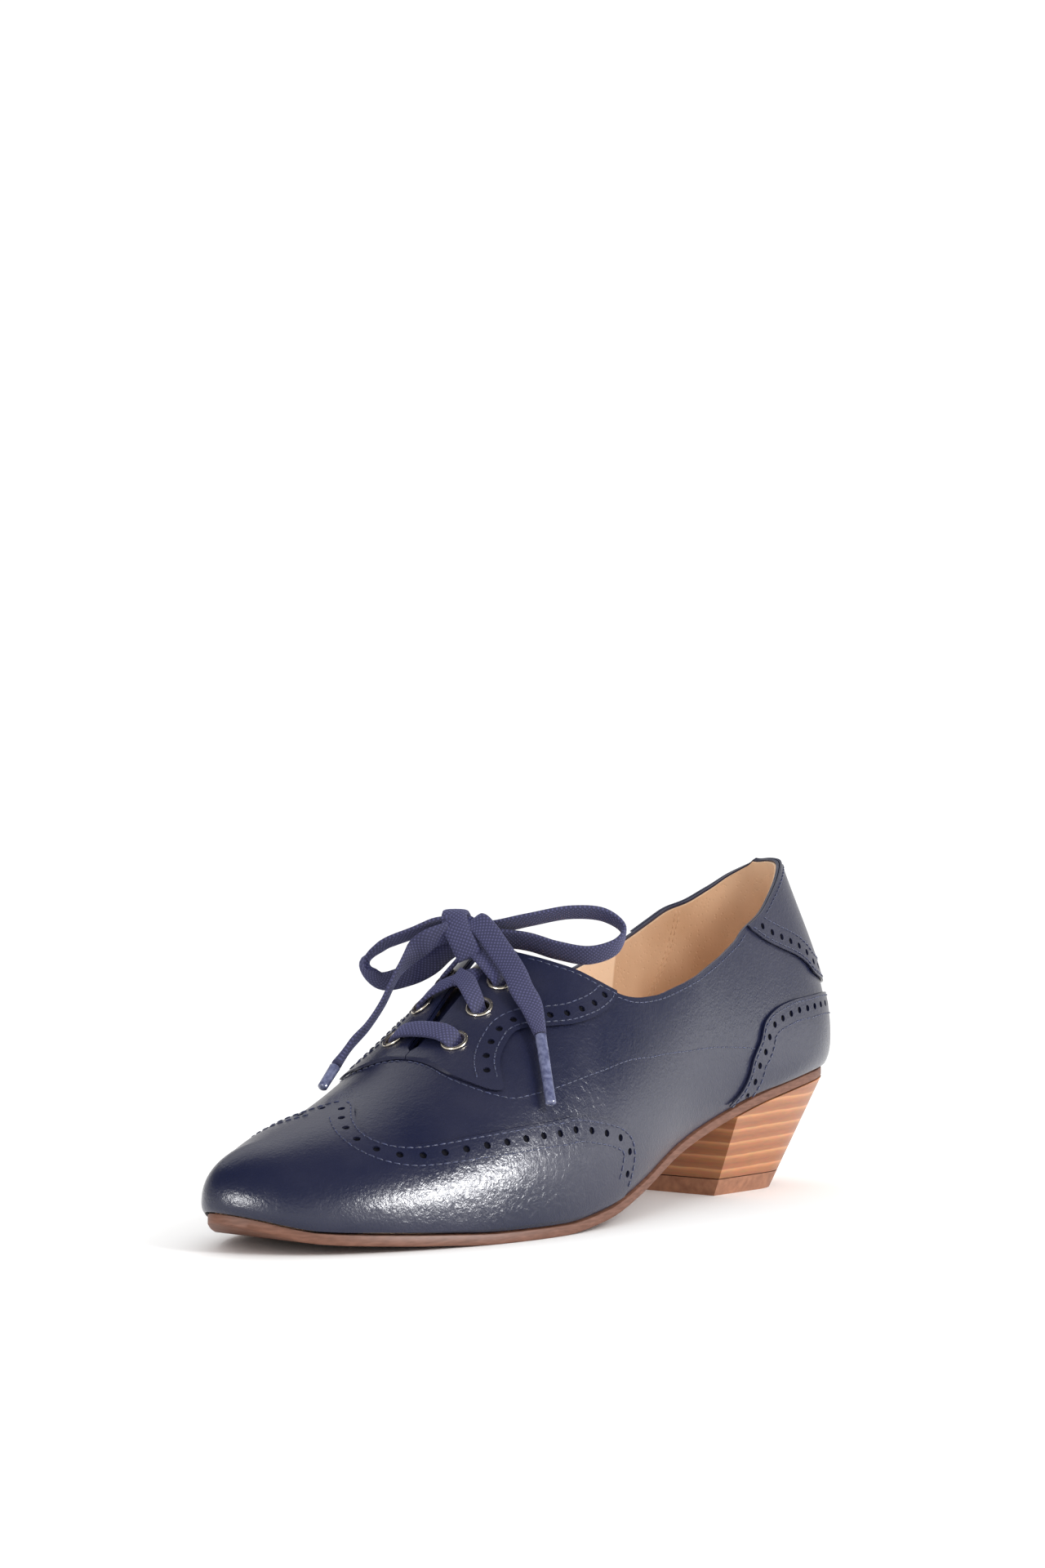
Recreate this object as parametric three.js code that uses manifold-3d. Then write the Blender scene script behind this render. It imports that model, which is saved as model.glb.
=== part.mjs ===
// A women's wingtip brogue oxford for the left foot, with a low stacked heel, standing on its sole.
// Millimetres, +Z up. The toe points towards -Y and the outer side of the foot is +X.
// The origin is the middle of the heel's face on the ground.
import * as THREE from "three";
import { mergeVertices } from "three/addons/utils/BufferGeometryUtils.js";
import Module from "manifold-3d";

const wasm = await Module();
wasm.setup();
const { Manifold, Mesh: SolidMesh } = wasm;

// The last: the form that the shoe is made on.
const LAST_LENGTH = 255; // toe tip to the rear of the heel seat, along the sole
const BALL_HALF_WIDTH = 40; // of the sole's outline at the ball
const BACK_HEIGHT = 108; // ground to the top of the back
const SEAT_RISE = 36; // ground to the underside of the sole at the heel
const SOLE_STEP = 3.2; // underside of the sole to the lower edge of the upper
const SIDE_SWELL = 3; // of the outer side beyond the sole's edge at the waist
const BELT_RISE = 15; // lower edge of the upper to the widest line of its side, at the waist

// The upper and what is laid on it. Depths are measured inwards from the last's outer form.
const UPPER_DEPTH = 0.6;
const UPPER_WALL = 1.8;
const OVERLAY_GAP = 0.3;
const OVERLAY_THICKNESS = 0.7;
const TONGUE_GAP = 1;
const TONGUE_THICKNESS = 1.6;

// The bottom.
const SOLE_GAP = 0.3;
const INSOLE_THICKNESS = 1.8;
const INSOLE_INSET = 3.2;
const HEEL_HALF_WIDTH = 17.2; // at the ground
const HEEL_STRAIGHT = 24.9; // straight part of each side at the ground
const HEEL_UNDERCUT = 23.4; // rear of the sole to the rear of the heel at the ground
const HEEL_BREAST_LEAN = 4.8; // how much further forward the heel's front is under the sole
const HEEL_AXIS = -1; // sideways, from the last's middle line
const TOP_PIECE_THICKNESS = 5.2;

// Eyelets and the flat lace.
const EYELET_HOLE = 2.8; // radii
const EYELET_BARREL = 3.15;
const EYELET_RIM = 4;
const EYELET_CLEARANCE = 0.3;
const EYELET_LIP = 0.6;
const LACE_WIDTH = 7.6;
const LACE_THICKNESS = 1.4;
const LACE_GAP = 0.4; // lace to the eyelet's lip
const LACE_LIFT = EYELET_CLEARANCE + EYELET_LIP + LACE_GAP + LACE_THICKNESS / 2; // above the facing
const AGLET_RADIUS = 1.7;

// Grid fineness.
const COLUMNS = 36;
const ROWS = 9;

// One row per station from toe to heel. y, ridgeY: shares of the last's length. outer, inner, ridgeX, ridgeHalf:
// shares of the ball's half width. bulgeOuter, bulgeInner: shares of the side's swell. belt: share of the belt's rise.
// ridgeZ: share of the back's height. lean: degrees by which the side still rises where it ends. low, high: how far
// the lower and the upper part of the side run straight, as shares.
const STATIONS = [
  // y, outer, inner, bulgeOuter, bulgeInner, belt, ridgeY, ridgeX, ridgeHalf, ridgeZ, lean, low, high
  [0.0, -0.125, -0.125, 0.433, 0.433, 0.2, 0.062, -0.15, 0.0, 0.258, 0, 0.56, 0.56],
  [0.012, 0.108, -0.29, 0.433, 0.433, 0.2, 0.064, -0.148, 0.0, 0.2592, 0, 0.56, 0.56],
  [0.045, 0.376, -0.468, 0.433, 0.433, 0.25, 0.079, -0.135, 0.0, 0.2688, 0, 0.56, 0.56],
  [0.1, 0.627, -0.697, 0.433, 0.433, 0.38, 0.118, -0.118, 0.0, 0.2962, 0, 0.56, 0.56],
  [0.18, 0.843, -0.867, 0.433, 0.433, 0.55, 0.19, -0.059, 0.0, 0.353, 0, 0.56, 0.56],
  [0.27, 0.987, -0.988, 0.433, 0.267, 0.8, 0.272, 0.0, 0.0, 0.462, 0, 0.54, 0.56],
  [0.34, 1.025, -0.995, 0.433, 0.267, 0.867, 0.34, 0.0, 0.0, 0.598, 5, 0.5, 0.5],
  [0.43, 0.992, -0.895, 0.833, 1.0, 0.933, 0.425, 0.0, 0.0, 0.758, 10, 0.45, 0.45],
  [0.52, 0.888, -0.729, 1.0, 1.667, 1.0, 0.51, 0.0, 0.0, 0.891, 15, 0.4, 0.42],
  [0.62, 0.768, -0.61, 0.833, 1.333, 1.0, 0.6, 0.0, 0.125, 1.022, 35, 0.3, 0.36],
  [0.72, 0.72, -0.593, 0.833, 1.167, 1.0, 0.7, 0.0, 0.25, 1.159, 62, 0.26, 0.34],
  [0.82, 0.717, -0.643, 0.767, 0.933, 0.493, 0.8, 0.0, 0.3, 1.196, 72, 0.26, 0.34],
  [0.904, 0.661, -0.613, 0.867, 0.867, 0.627, 0.873, 0.0, 0.288, 1.175, 78, 0.3, 0.34],
  [0.976, 0.44, -0.398, 0.933, 0.933, 0.693, 0.91, 0.0, 0.175, 1.132, 80, 0.34, 0.34],
  [1.007, 0.0, 0.0, 0.933, 0.933, 0.693, 0.92, 0.0, 0.0, 1.091, 80, 0.34, 0.34],
];
const BELT_SHARE = 0.22; // how far up the side its widest line lies

// Underside of the sole: share of the last's length, share of the seat's rise. The ball lies flat on the ground.
const SOLE_PROFILE = [
  [-0.1, 0.4], [0, 0.216], [0.06, 0.084], [0.12, 0.049], [0.19, 0.019], [0.25, 0], [0.34, 0], [0.42, 0.058],
  [0.5, 0.203], [0.6, 0.457], [0.7, 0.657], [0.8, 0.826], [0.9, 0.935], [1.0, 0.993], [1.1, 1.03],
];

// Edge of the upper on each side: share of the way from toe to heel, share of the way up the side. It runs along the
// lacing slit, over the top of the facing, along the collar and up to the back.
const UPPER_EDGE = {
  outer: [
    [0, 1], [0.318, 1], [0.324, 0.985], [0.36, 0.975], [0.4, 0.965], [0.43, 0.955], [0.447, 0.945], [0.457, 0.86],
    [0.47, 0.78], [0.4851, 0.7135], [0.5012, 0.648], [0.5207, 0.5884], [0.5414, 0.5516], [0.5614, 0.533],
    [0.5913, 0.5202], [0.6217, 0.5211], [0.6535, 0.528], [0.6903, 0.5403], [0.7286, 0.5776], [0.7462, 0.6084],
    [0.7895, 0.6616], [0.8116, 0.6935], [0.839, 0.7305], [0.88, 0.782], [0.93, 0.828], [0.97, 0.86], [1, 0.872],
  ],
  inner: [
    [0, 1], [0.318, 1], [0.324, 0.975], [0.36, 0.96], [0.4, 0.945], [0.43, 0.935], [0.447, 0.925], [0.457, 0.85],
    [0.47, 0.775], [0.4851, 0.713], [0.5012, 0.648], [0.5207, 0.588], [0.5414, 0.551], [0.5614, 0.532],
    [0.5913, 0.519], [0.6217, 0.517], [0.6535, 0.519], [0.6903, 0.529], [0.7286, 0.556], [0.7567, 0.5922],
    [0.7893, 0.6334], [0.8185, 0.6618], [0.8489, 0.6748], [0.8881, 0.7164], [0.9286, 0.7789], [0.97, 0.838],
    [1, 0.872],
  ],
};
const SLIT_START = 0.318;

// Edges of the laid-on pieces on each side: share of the way from toe to heel, share of the way up the side.
const WING_EDGE = [
  [0.2319, 0.949], [0.2113, 0.845], [0.2012, 0.747], [0.2018, 0.665], [0.2133, 0.591], [0.2297, 0.549],
  [0.2561, 0.517], [0.2834, 0.488], [0.3275, 0.438], [0.3838, 0.394], [0.4066, 0.383], [0.4393, 0.344],
  [0.4687, 0.302], [0.4876, 0.253], [0.494, 0.2], [0.4908, 0.127], [0.4859, 0.068], [0.478, 0.0],
];
const COUNTER_EDGE = [
  [0.683, 0.0], [0.6905, 0.023], [0.7106, 0.076], [0.7222, 0.144], [0.7297, 0.221], [0.7435, 0.29], [0.7535, 0.349],
  [0.7756, 0.391], [0.8091, 0.404], [0.8509, 0.384], [0.9, 0.366], [0.95, 0.352], [1.0, 0.35],
];
const TAB_EDGE = [
  [0.758, 0.609], [0.7811, 0.582], [0.8085, 0.554], [0.8403, 0.515], [0.862, 0.477], [0.876, 0.442], [0.905, 0.409],
  [0.95, 0.386], [1.0, 0.378],
];
const FACING_EDGE = [
  [0.3115, 1.0], [0.3102, 0.888], [0.3087, 0.778], [0.3174, 0.666], [0.3265, 0.612], [0.3365, 0.592], [0.3419, 0.625],
  [0.3528, 0.68], [0.3649, 0.704], [0.375, 0.713], [0.3847, 0.718], [0.3975, 0.705], [0.4242, 0.646], [0.4493, 0.604],
  [0.4675, 0.587], [0.4891, 0.574], [0.5104, 0.574], [0.5181, 0.585],
];
const PEAK_REACH = 1.6; // how far the wing's peak stands back of the table's first row
const FAR_OUT = 400; // well outside the shoe

// Eyelet centres on each facing: share of the way from toe to heel, share of the way up the side.
const EYELETS = [
  { along: 0.342, up: 0.865 },
  { along: 0.3855, up: 0.87 },
  { along: 0.4192, up: 0.874 },
];

// Routes of the lace's free pieces: x, y, z, then the direction of the lace's width.
const KNOT_ROUTE = [
  [-0.5, 95, 77, 1, 0.5, 0], [-3, 96, 80.5, 1, 0.5, 0], [-5.5, 96.5, 84.5, 1, 0.5, 0], [-7.5, 96.5, 88, 1, 0.5, 0],
];
const LOOP_FAR_ROUTE = [
  [-12, 92.5, 85.2, 0.6, -0.7, 0.4], [-18, 89.3, 82.5, 0.6, -0.7, 0.4], [-27, 86, 78.6, 0.7, -0.6, 0.4],
  [-33.5, 86.3, 73, 0.8, -0.1, 0.3], [-31.5, 90, 68.4, 0.6, -0.3, 0.6], [-24, 93.2, 69.8, 0.4, -0.5, 0.8],
  [-16, 95, 73.4, 0.4, -0.5, 0.8], [-11.5, 96, 77, 0.4, -0.5, 0.8],
];
const LOOP_NEAR_ROUTE = [
  [0.5, 103.6, 84.2, 0.6, -0.7, 0.5], [10, 108.8, 86.4, 0.6, -0.7, 0.5], [20, 116.4, 88.6, 0.6, -0.7, 0.5],
  [27, 123.2, 87.6, 0.6, -0.7, 0.5], [31, 126.5, 83.4, 0.6, -0.7, 0.4], [30.5, 124, 79, 0.5, -0.6, 0.6],
  [25, 118.5, 76.2, 0.5, -0.5, 0.7], [16.5, 113.5, 77.6, 0.5, -0.5, 0.7], [9, 109.8, 80, 0.5, -0.5, 0.7],
  [2, 105.2, 81, 0.5, -0.5, 0.7],
];
const END_FAR_ROUTE = [
  [-11, 88.4, 80.6, 0.3, -0.4, 0.9], [-16, 87.4, 76.5, 0.4, -0.5, 0.8], [-19, 84.1, 70.9, 0.6, -0.7, 0.4],
  [-21, 79.7, 62, 0.6, -0.8, 0.2], [-22, 74.6, 55.8, 0.6, -0.7, 0.3], [-22, 68.2, 51.2, 0.6, -0.6, 0.4],
  [-22, 64.6, 47.9, 0.7, -0.5, 0.4], [-21.5, 61.5, 45.6, 0.7, -0.5, 0.4],
];
const END_NEAR_ROUTE = [
  [5.2, 96.2, 82.4, 0.6, 0.5, 0.7], [8.4, 96.1, 79.2, 0.6, 0.5, 0.7], [12.8, 95.8, 74.8, 0.6, 0.5, 0.6],
  [17.2, 94.4, 70.8, 0.7, 0.6, 0.5], [20.8, 92.8, 66.8, 0.7, 0.6, 0.3], [24.4, 92.2, 62.9, 0.8, 0.6, 0.1],
  [27.8, 90.5, 58.6, 0.8, 0.6, 0], [30.4, 89.3, 54.8, 0.8, 0.6, 0],
];
const AGLET_FAR = [[-21.3, 60.7, 45], [-20.4, 54.5, 39.4]];
const AGLET_NEAR = [[30.6, 89.2, 54.5], [40.6, 81.6, 36.4]];

// A smooth curve through rows at the given knots that joins its own start after the span.
function closedSpline(knots, rows, span) {
  const n = knots.length;
  const width = rows[0].length;
  const gap = knots.map((k, i) => (i + 1 < n ? knots[i + 1] : knots[0] + span) - k);
  const matrix = knots.map(() => new Array(n + width).fill(0));
  for (let i = 0; i < n; i++) {
    const before = (i + n - 1) % n;
    const after = (i + 1) % n;
    matrix[i][before] += gap[before];
    matrix[i][i] += 2 * (gap[before] + gap[i]);
    matrix[i][after] += gap[i];
    for (let c = 0; c < width; c++) {
      const rise = (rows[after][c] - rows[i][c]) / gap[i] - (rows[i][c] - rows[before][c]) / gap[before];
      matrix[i][n + c] = 6 * rise;
    }
  }
  for (let i = 0; i < n; i++) {
    for (let r = 0; r < n; r++) {
      if (r === i || matrix[r][i] === 0) continue;
      const factor = matrix[r][i] / matrix[i][i];
      for (let c = i; c < n + width; c++) matrix[r][c] -= factor * matrix[i][c];
    }
  }
  const bend = matrix.map((row, i) => row.slice(n).map((value) => value / row[i]));
  return (t) => {
    const at = ((t - knots[0]) % span + span) % span + knots[0];
    let i = n - 1;
    while (knots[i] > at) i--;
    const j = (i + 1) % n;
    const h = gap[i];
    const b = (at - knots[i]) / h;
    const a = 1 - b;
    const value = rows[i].map(
      (v, c) => a * v + b * rows[j][c] + (((a ** 3 - a) * bend[i][c] + (b ** 3 - b) * bend[j][c]) * h * h) / 6,
    );
    const slope = rows[i].map(
      (v, c) => (rows[j][c] - v) / h + (((3 * b * b - 1) * bend[j][c] - (3 * a * a - 1) * bend[i][c]) * h) / 6,
    );
    return { value, slope };
  };
}

// A curve through points that never overshoots them.
function steadyCurve(points) {
  const n = points.length;
  const slopes = [];
  for (let i = 0; i < n - 1; i++) slopes.push((points[i + 1][1] - points[i][1]) / (points[i + 1][0] - points[i][0]));
  const tangent = points.map((p, i) => {
    if (i === 0 || i === n - 1) return slopes[Math.min(i, n - 2)];
    const [s, t] = [slopes[i - 1], slopes[i]];
    if (s * t <= 0) return 0;
    const [g, h] = [p[0] - points[i - 1][0], points[i + 1][0] - p[0]];
    return (3 * (g + h)) / ((2 * h + g) / s + (h + 2 * g) / t);
  });
  return (x) => {
    if (x <= points[0][0]) return points[0][1];
    if (x >= points[n - 1][0]) return points[n - 1][1];
    let i = 0;
    while (points[i + 1][0] < x) i++;
    const h = points[i + 1][0] - points[i][0];
    const t = (x - points[i][0]) / h;
    return (
      points[i][1] * (1 + 2 * t) * (1 - t) ** 2 +
      tangent[i] * h * t * (1 - t) ** 2 +
      points[i + 1][1] * t * t * (3 - 2 * t) +
      tangent[i + 1] * h * t * t * (t - 1)
    );
  };
}

const bezier = (a, b, c, d, t) =>
  new THREE.Vector3()
    .addScaledVector(a, (1 - t) ** 3)
    .addScaledVector(b, 3 * t * (1 - t) ** 2)
    .addScaledVector(c, 3 * t * t * (1 - t))
    .addScaledVector(d, t ** 3);

const soleUnderside = steadyCurve(SOLE_PROFILE.map(([y, z]) => [y * LAST_LENGTH, z * SEAT_RISE]));

// Distance round the outline at each station, from 0 at the toe to 1 at the heel.
const stationAlong = (() => {
  const along = [0];
  for (let i = 1; i < STATIONS.length; i++) {
    const [y0, outer0, inner0] = STATIONS[i - 1];
    const [y1, outer1, inner1] = STATIONS[i];
    const dy = (y1 - y0) * LAST_LENGTH;
    const outer = Math.hypot(dy, (outer1 - outer0) * BALL_HALF_WIDTH);
    const inner = Math.hypot(dy, (inner1 - inner0) * BALL_HALF_WIDTH);
    along.push(along[i - 1] + Math.sqrt((outer + inner) / 2));
  }
  return along.map((d) => d / along[along.length - 1]);
})();

const lastColumn = (() => {
  const half = (side) =>
    STATIONS.map(([y, outer, inner, bulgeOuter, bulgeInner, belt, ridgeY, ridgeX, ridgeHalf, ridgeZ, lean, low, high]) => [
      (side > 0 ? outer : inner) * BALL_HALF_WIDTH,
      y * LAST_LENGTH,
      (side > 0 ? bulgeOuter : bulgeInner) * SIDE_SWELL,
      belt * BELT_RISE,
      (ridgeX + side * ridgeHalf) * BALL_HALF_WIDTH,
      ridgeY * LAST_LENGTH,
      ridgeZ * BACK_HEIGHT,
      lean,
      low,
      high,
    ]);
  const back = half(-1).slice(1, -1).reverse();
  const backAlong = stationAlong.slice(1, -1).reverse().map((t) => 2 - t);
  return closedSpline([...stationAlong, ...backAlong], [...half(1), ...back], 2);
})();

// How steeply the ridge climbs towards the heel.
function ridgeClimb(along) {
  const { slope } = lastColumn(THREE.MathUtils.clamp(along, 0.03, 0.97));
  return THREE.MathUtils.clamp(slope[6] / slope[5], -0.1, 1.2);
}

// A point of the last: side 1 is the outer side and -1 the inner, along runs from toe to heel, up from the sole's
// edge to the ridge.
function lastPoint(side, along, up) {
  const { value, slope } = lastColumn(side > 0 ? along : 2 - along);
  const climb = ridgeClimb(along);
  const [x, y, bulge, belt, ridgeX, ridgeY, ridgeZ, lean, low, high] = value;
  const run = Math.hypot(slope[0], slope[1]);
  const out = new THREE.Vector3(slope[1] / run, -slope[0] / run, 0);
  const edge = new THREE.Vector3(x, y, soleUnderside(y) + SOLE_STEP);
  const widest = edge.clone().addScaledVector(out, bulge).add(new THREE.Vector3(0, 0, belt));
  if (up < BELT_SHARE) {
    const first = edge.clone().addScaledVector(out, bulge * 0.8).add(new THREE.Vector3(0, 0, belt * 0.22));
    const second = widest.clone().sub(new THREE.Vector3(0, 0, belt * 0.45));
    return bezier(edge, first, second, widest, up / BELT_SHARE);
  }
  const ridge = new THREE.Vector3(ridgeX, ridgeY, ridgeZ);
  const across = Math.hypot(ridge.x - widest.x, ridge.y - widest.y) + 1e-9;
  const inX = (ridge.x - widest.x) / across;
  const inY = (ridge.y - widest.y) / across;
  const tilt = THREE.MathUtils.degToRad(lean);
  const inward = new THREE.Vector3(inX, inY, inY * climb).normalize().multiplyScalar(Math.cos(tilt));
  inward.z += Math.sin(tilt);
  inward.normalize();
  const steep = THREE.MathUtils.clamp(lean / 45, 0, 1);
  const reach = (across * (1 - steep) + ridge.distanceTo(widest) * steep) * high;
  const rising = widest.clone().add(new THREE.Vector3(0, 0, (ridge.z - widest.z) * low));
  const landing = ridge.clone().addScaledVector(inward, -reach);
  return bezier(widest, rising, landing, ridge, (up - BELT_SHARE) / (1 - BELT_SHARE));
}

// In front of the opening both sides meet in one ridge.
const ridgeIsShut = (along) => lastPoint(1, along, 1).distanceTo(lastPoint(-1, along, 1)) < 1e-3;

// The direction that faces out of the last.
function lastNormal(side, along, up) {
  const d = 5e-4;
  const [a0, a1] = along > 0.5 ? [along - d, along] : [along, along + d];
  const [u0, u1] = up > 0.5 ? [up - d, up] : [up, up + d];
  const onward = lastPoint(side, a1, up).sub(lastPoint(side, a0, up));
  const upward = lastPoint(side, along, u1).sub(lastPoint(side, along, u0));
  return onward.cross(upward).multiplyScalar(side).normalize();
}

// A point at a depth inside the last, or outside it where the depth is negative.
function onLast(side, along, up, depth) {
  const point = lastPoint(side, along, up);
  const normal = lastNormal(side, along, up);
  const onEnd = along === 0 || along === 1;
  if (onEnd) normal.add(lastNormal(-side, along, up)).normalize();
  if (up === 1 && ridgeIsShut(along)) normal.set(0, -ridgeClimb(along), 1).normalize();
  return point.addScaledVector(normal, -depth);
}

class Faces {
  constructor() {
    this.points = [];
  }
  quad(a, b, c, d, turned = false) {
    const order = turned ? [a, c, b, a, d, c] : [a, b, c, a, c, d];
    for (const p of order) this.points.push(p.x, p.y, p.z);
  }
  geometry() {
    const loose = new THREE.BufferGeometry();
    loose.setAttribute("position", new THREE.Float32BufferAttribute(this.points, 3));
    const merged = mergeVertices(loose, 1e-3);
    const index = merged.index.array;
    const kept = [];
    for (let i = 0; i < index.length; i += 3) {
      const [a, b, c] = [index[i], index[i + 1], index[i + 2]];
      if (a !== b && b !== c && a !== c) kept.push(a, b, c);
    }
    merged.setIndex(kept);
    return merged;
  }
}

function solidFrom(geometry) {
  const plain = new THREE.BufferGeometry().setAttribute("position", geometry.getAttribute("position"));
  if (geometry.index) plain.setIndex(geometry.index);
  const merged = mergeVertices(plain, 1e-3);
  const solid = new Manifold(
    new SolidMesh({
      numProp: 3,
      vertProperties: merged.attributes.position.array,
      triVerts: new Uint32Array(merged.index.array),
    }),
  );
  if (solid.volume() > 0) return solid;
  const turned = new Uint32Array(merged.index.array);
  for (let i = 0; i < turned.length; i += 3) [turned[i + 1], turned[i + 2]] = [turned[i + 2], turned[i + 1]];
  return new Manifold(
    new SolidMesh({ numProp: 3, vertProperties: merged.attributes.position.array, triVerts: turned }),
  );
}

function geometryFrom(solid) {
  const made = solid.getMesh();
  const geometry = new THREE.BufferGeometry();
  const step = made.numProp;
  const places = [];
  for (let i = 0; i < made.vertProperties.length; i += step) places.push(...made.vertProperties.slice(i, i + 3));
  geometry.setAttribute("position", new THREE.Float32BufferAttribute(places, 3));
  geometry.setIndex([...made.triVerts]);
  geometry.computeVertexNormals();
  return geometry;
}

// The main body of a solid whose cut has left crumbs beside it.
function largestBody(solid) {
  return solid.decompose().sort((a, b) => b.volume() - a.volume())[0];
}

// The wall of the last between two depths, open below and, behind the slit's start, above the given edge.
function wallOfLast({ depth, thickness, edge, from = 0, columns = COLUMNS, rows = ROWS }) {
  const alongs = [];
  for (let i = 0; i <= columns; i++) alongs.push(i / columns);
  if (edge) {
    const nearest = alongs.reduce((best, a, i) => (Math.abs(a - SLIT_START) < Math.abs(alongs[best] - SLIT_START) ? i : best), 0);
    alongs[nearest] = SLIT_START;
    alongs.splice(nearest + 1, 0, SLIT_START + 0.005);
  }
  const faces = new Faces();
  const sides = [1, -1].map((side) => {
    const top = edge ? steadyCurve(side > 0 ? edge.outer : edge.inner) : () => 1;
    const grid = alongs.map((along) => {
      const end = Math.min(1, top(along));
      const column = [];
      for (let j = 0; j <= rows; j++) {
        const exact = j === 0 ? from : j === rows ? end : end * (j / rows);
        column.push([onLast(side, along, exact, depth), onLast(side, along, exact, depth + thickness)]);
      }
      return { column, shut: end === 1 && ridgeIsShut(along) };
    });
    return { side, grid };
  });
  // Both sides share the points of the toe, the back and the closed ridge.
  const [outerSide, innerSide] = sides;
  alongs.forEach((along, i) => {
    const whole = i === 0 || i === alongs.length - 1;
    const height = outerSide.grid[i].column.length;
    for (let j = 0; j < height; j++) {
      if (whole || (j === height - 1 && outerSide.grid[i].shut)) innerSide.grid[i].column[j] = outerSide.grid[i].column[j];
    }
  });
  for (const { side, grid } of sides) {
    const turned = side < 0;
    for (let i = 0; i < grid.length - 1; i++) {
      const [here, next] = [grid[i].column, grid[i + 1].column];
      for (let j = 0; j < rows; j++) {
        faces.quad(here[j][0], next[j][0], next[j + 1][0], here[j + 1][0], turned);
        faces.quad(here[j][1], next[j][1], next[j + 1][1], here[j + 1][1], !turned);
      }
      faces.quad(here[0][0], here[0][1], next[0][1], next[0][0], turned);
      if (grid[i].shut && grid[i + 1].shut) continue;
      faces.quad(here[rows][0], next[rows][0], next[rows][1], here[rows][1], turned);
    }
  }
  return solidFrom(faces.geometry());
}

// A closed sheet over a grid of places, given by a function of two shares and a depth.
function sheet(across, along, place) {
  const faces = new Faces();
  const at = (i, j, k) => place(i / across, j / along, k);
  for (let i = 0; i < across; i++) {
    for (let j = 0; j < along; j++) {
      faces.quad(at(i, j, 0), at(i + 1, j, 0), at(i + 1, j + 1, 0), at(i, j + 1, 0));
      faces.quad(at(i, j, 1), at(i, j + 1, 1), at(i + 1, j + 1, 1), at(i + 1, j, 1));
    }
    faces.quad(at(i, 0, 0), at(i, 0, 1), at(i + 1, 0, 1), at(i + 1, 0, 0));
    faces.quad(at(i, along, 0), at(i + 1, along, 0), at(i + 1, along, 1), at(i, along, 1));
  }
  for (let j = 0; j < along; j++) {
    faces.quad(at(0, j, 0), at(0, j + 1, 0), at(0, j + 1, 1), at(0, j, 1));
    faces.quad(at(across, j, 0), at(across, j, 1), at(across, j + 1, 1), at(across, j + 1, 0));
  }
  return solidFrom(faces.geometry());
}

// A block with the given outline in the shoe's length and height, running sideways from one x to another.
function sideBlock(outline, fromX, toX) {
  const block = extrude(outline, toX - fromX);
  block.applyMatrix4(new THREE.Matrix4().set(0, 0, 1, fromX, 1, 0, 0, 0, 0, 1, 0, 0, 0, 0, 0, 1));
  return solidFrom(block);
}

// A block with the given outline in plan, running from one height to another.
function planBlock(outline, fromZ, toZ) {
  return solidFrom(extrude(outline, toZ - fromZ).translate(0, 0, fromZ));
}

function extrude(outline, depth) {
  const shape = new THREE.Shape(outline.map(([x, y]) => new THREE.Vector2(x, y)));
  return new THREE.ExtrudeGeometry(shape, { depth, bevelEnabled: false, steps: 1 });
}

// An edge given on one side of the last, as seen from that side.
function seenFromSide(side, edge, steps) {
  const places = edge.map(([along, up]) => {
    const place = lastPoint(side, along, up);
    return [place.y, place.z];
  });
  return smoothLine(places, steps);
}

function smoothLine(points, steps) {
  const curve = new THREE.CatmullRomCurve3(
    points.map(([a, b]) => new THREE.Vector3(a, b, 0)),
    false,
    "centripetal",
  );
  return curve.getPoints(steps).map((p) => [p.x, p.y]);
}

// A flat band with rounded edges along a route of places and width directions.
function band(route, width, thickness, steps) {
  const path = new THREE.CatmullRomCurve3(route.map(([x, y, z]) => new THREE.Vector3(x, y, z)), false, "centripetal");
  const turns = new THREE.CatmullRomCurve3(route.map((row) => new THREE.Vector3(row[3], row[4], row[5])));
  const section = [];
  for (let k = 0; k < 8; k++) {
    const angle = (k / 8) * 2 * Math.PI + Math.PI / 8;
    const squash = Math.abs(Math.cos(angle)) > 0.7 ? 1.08 : 1.45;
    section.push([(Math.cos(angle) * squash * width) / 2, (Math.sin(angle) * 1.08 * thickness) / 2]);
  }
  const rings = [];
  for (let i = 0; i <= steps; i++) {
    const t = i / steps;
    const centre = path.getPoint(t);
    const ahead = path.getTangent(t);
    const wide = turns.getPoint(t);
    wide.addScaledVector(ahead, -wide.dot(ahead)).normalize();
    const flat = new THREE.Vector3().crossVectors(ahead, wide);
    rings.push(section.map(([a, b]) => centre.clone().addScaledVector(wide, a).addScaledVector(flat, b)));
  }
  const faces = new Faces();
  for (let i = 0; i < steps; i++) {
    for (let k = 0; k < 8; k++) {
      const m = (k + 1) % 8;
      faces.quad(rings[i][k], rings[i][m], rings[i + 1][m], rings[i + 1][k]);
    }
  }
  for (const [ring, turned] of [[rings[0], true], [rings[steps], false]]) {
    for (let k = 1; k < 7; k++) faces.quad(ring[0], ring[k], ring[k + 1], ring[k + 1], turned);
  }
  return solidFrom(faces.geometry());
}

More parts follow.
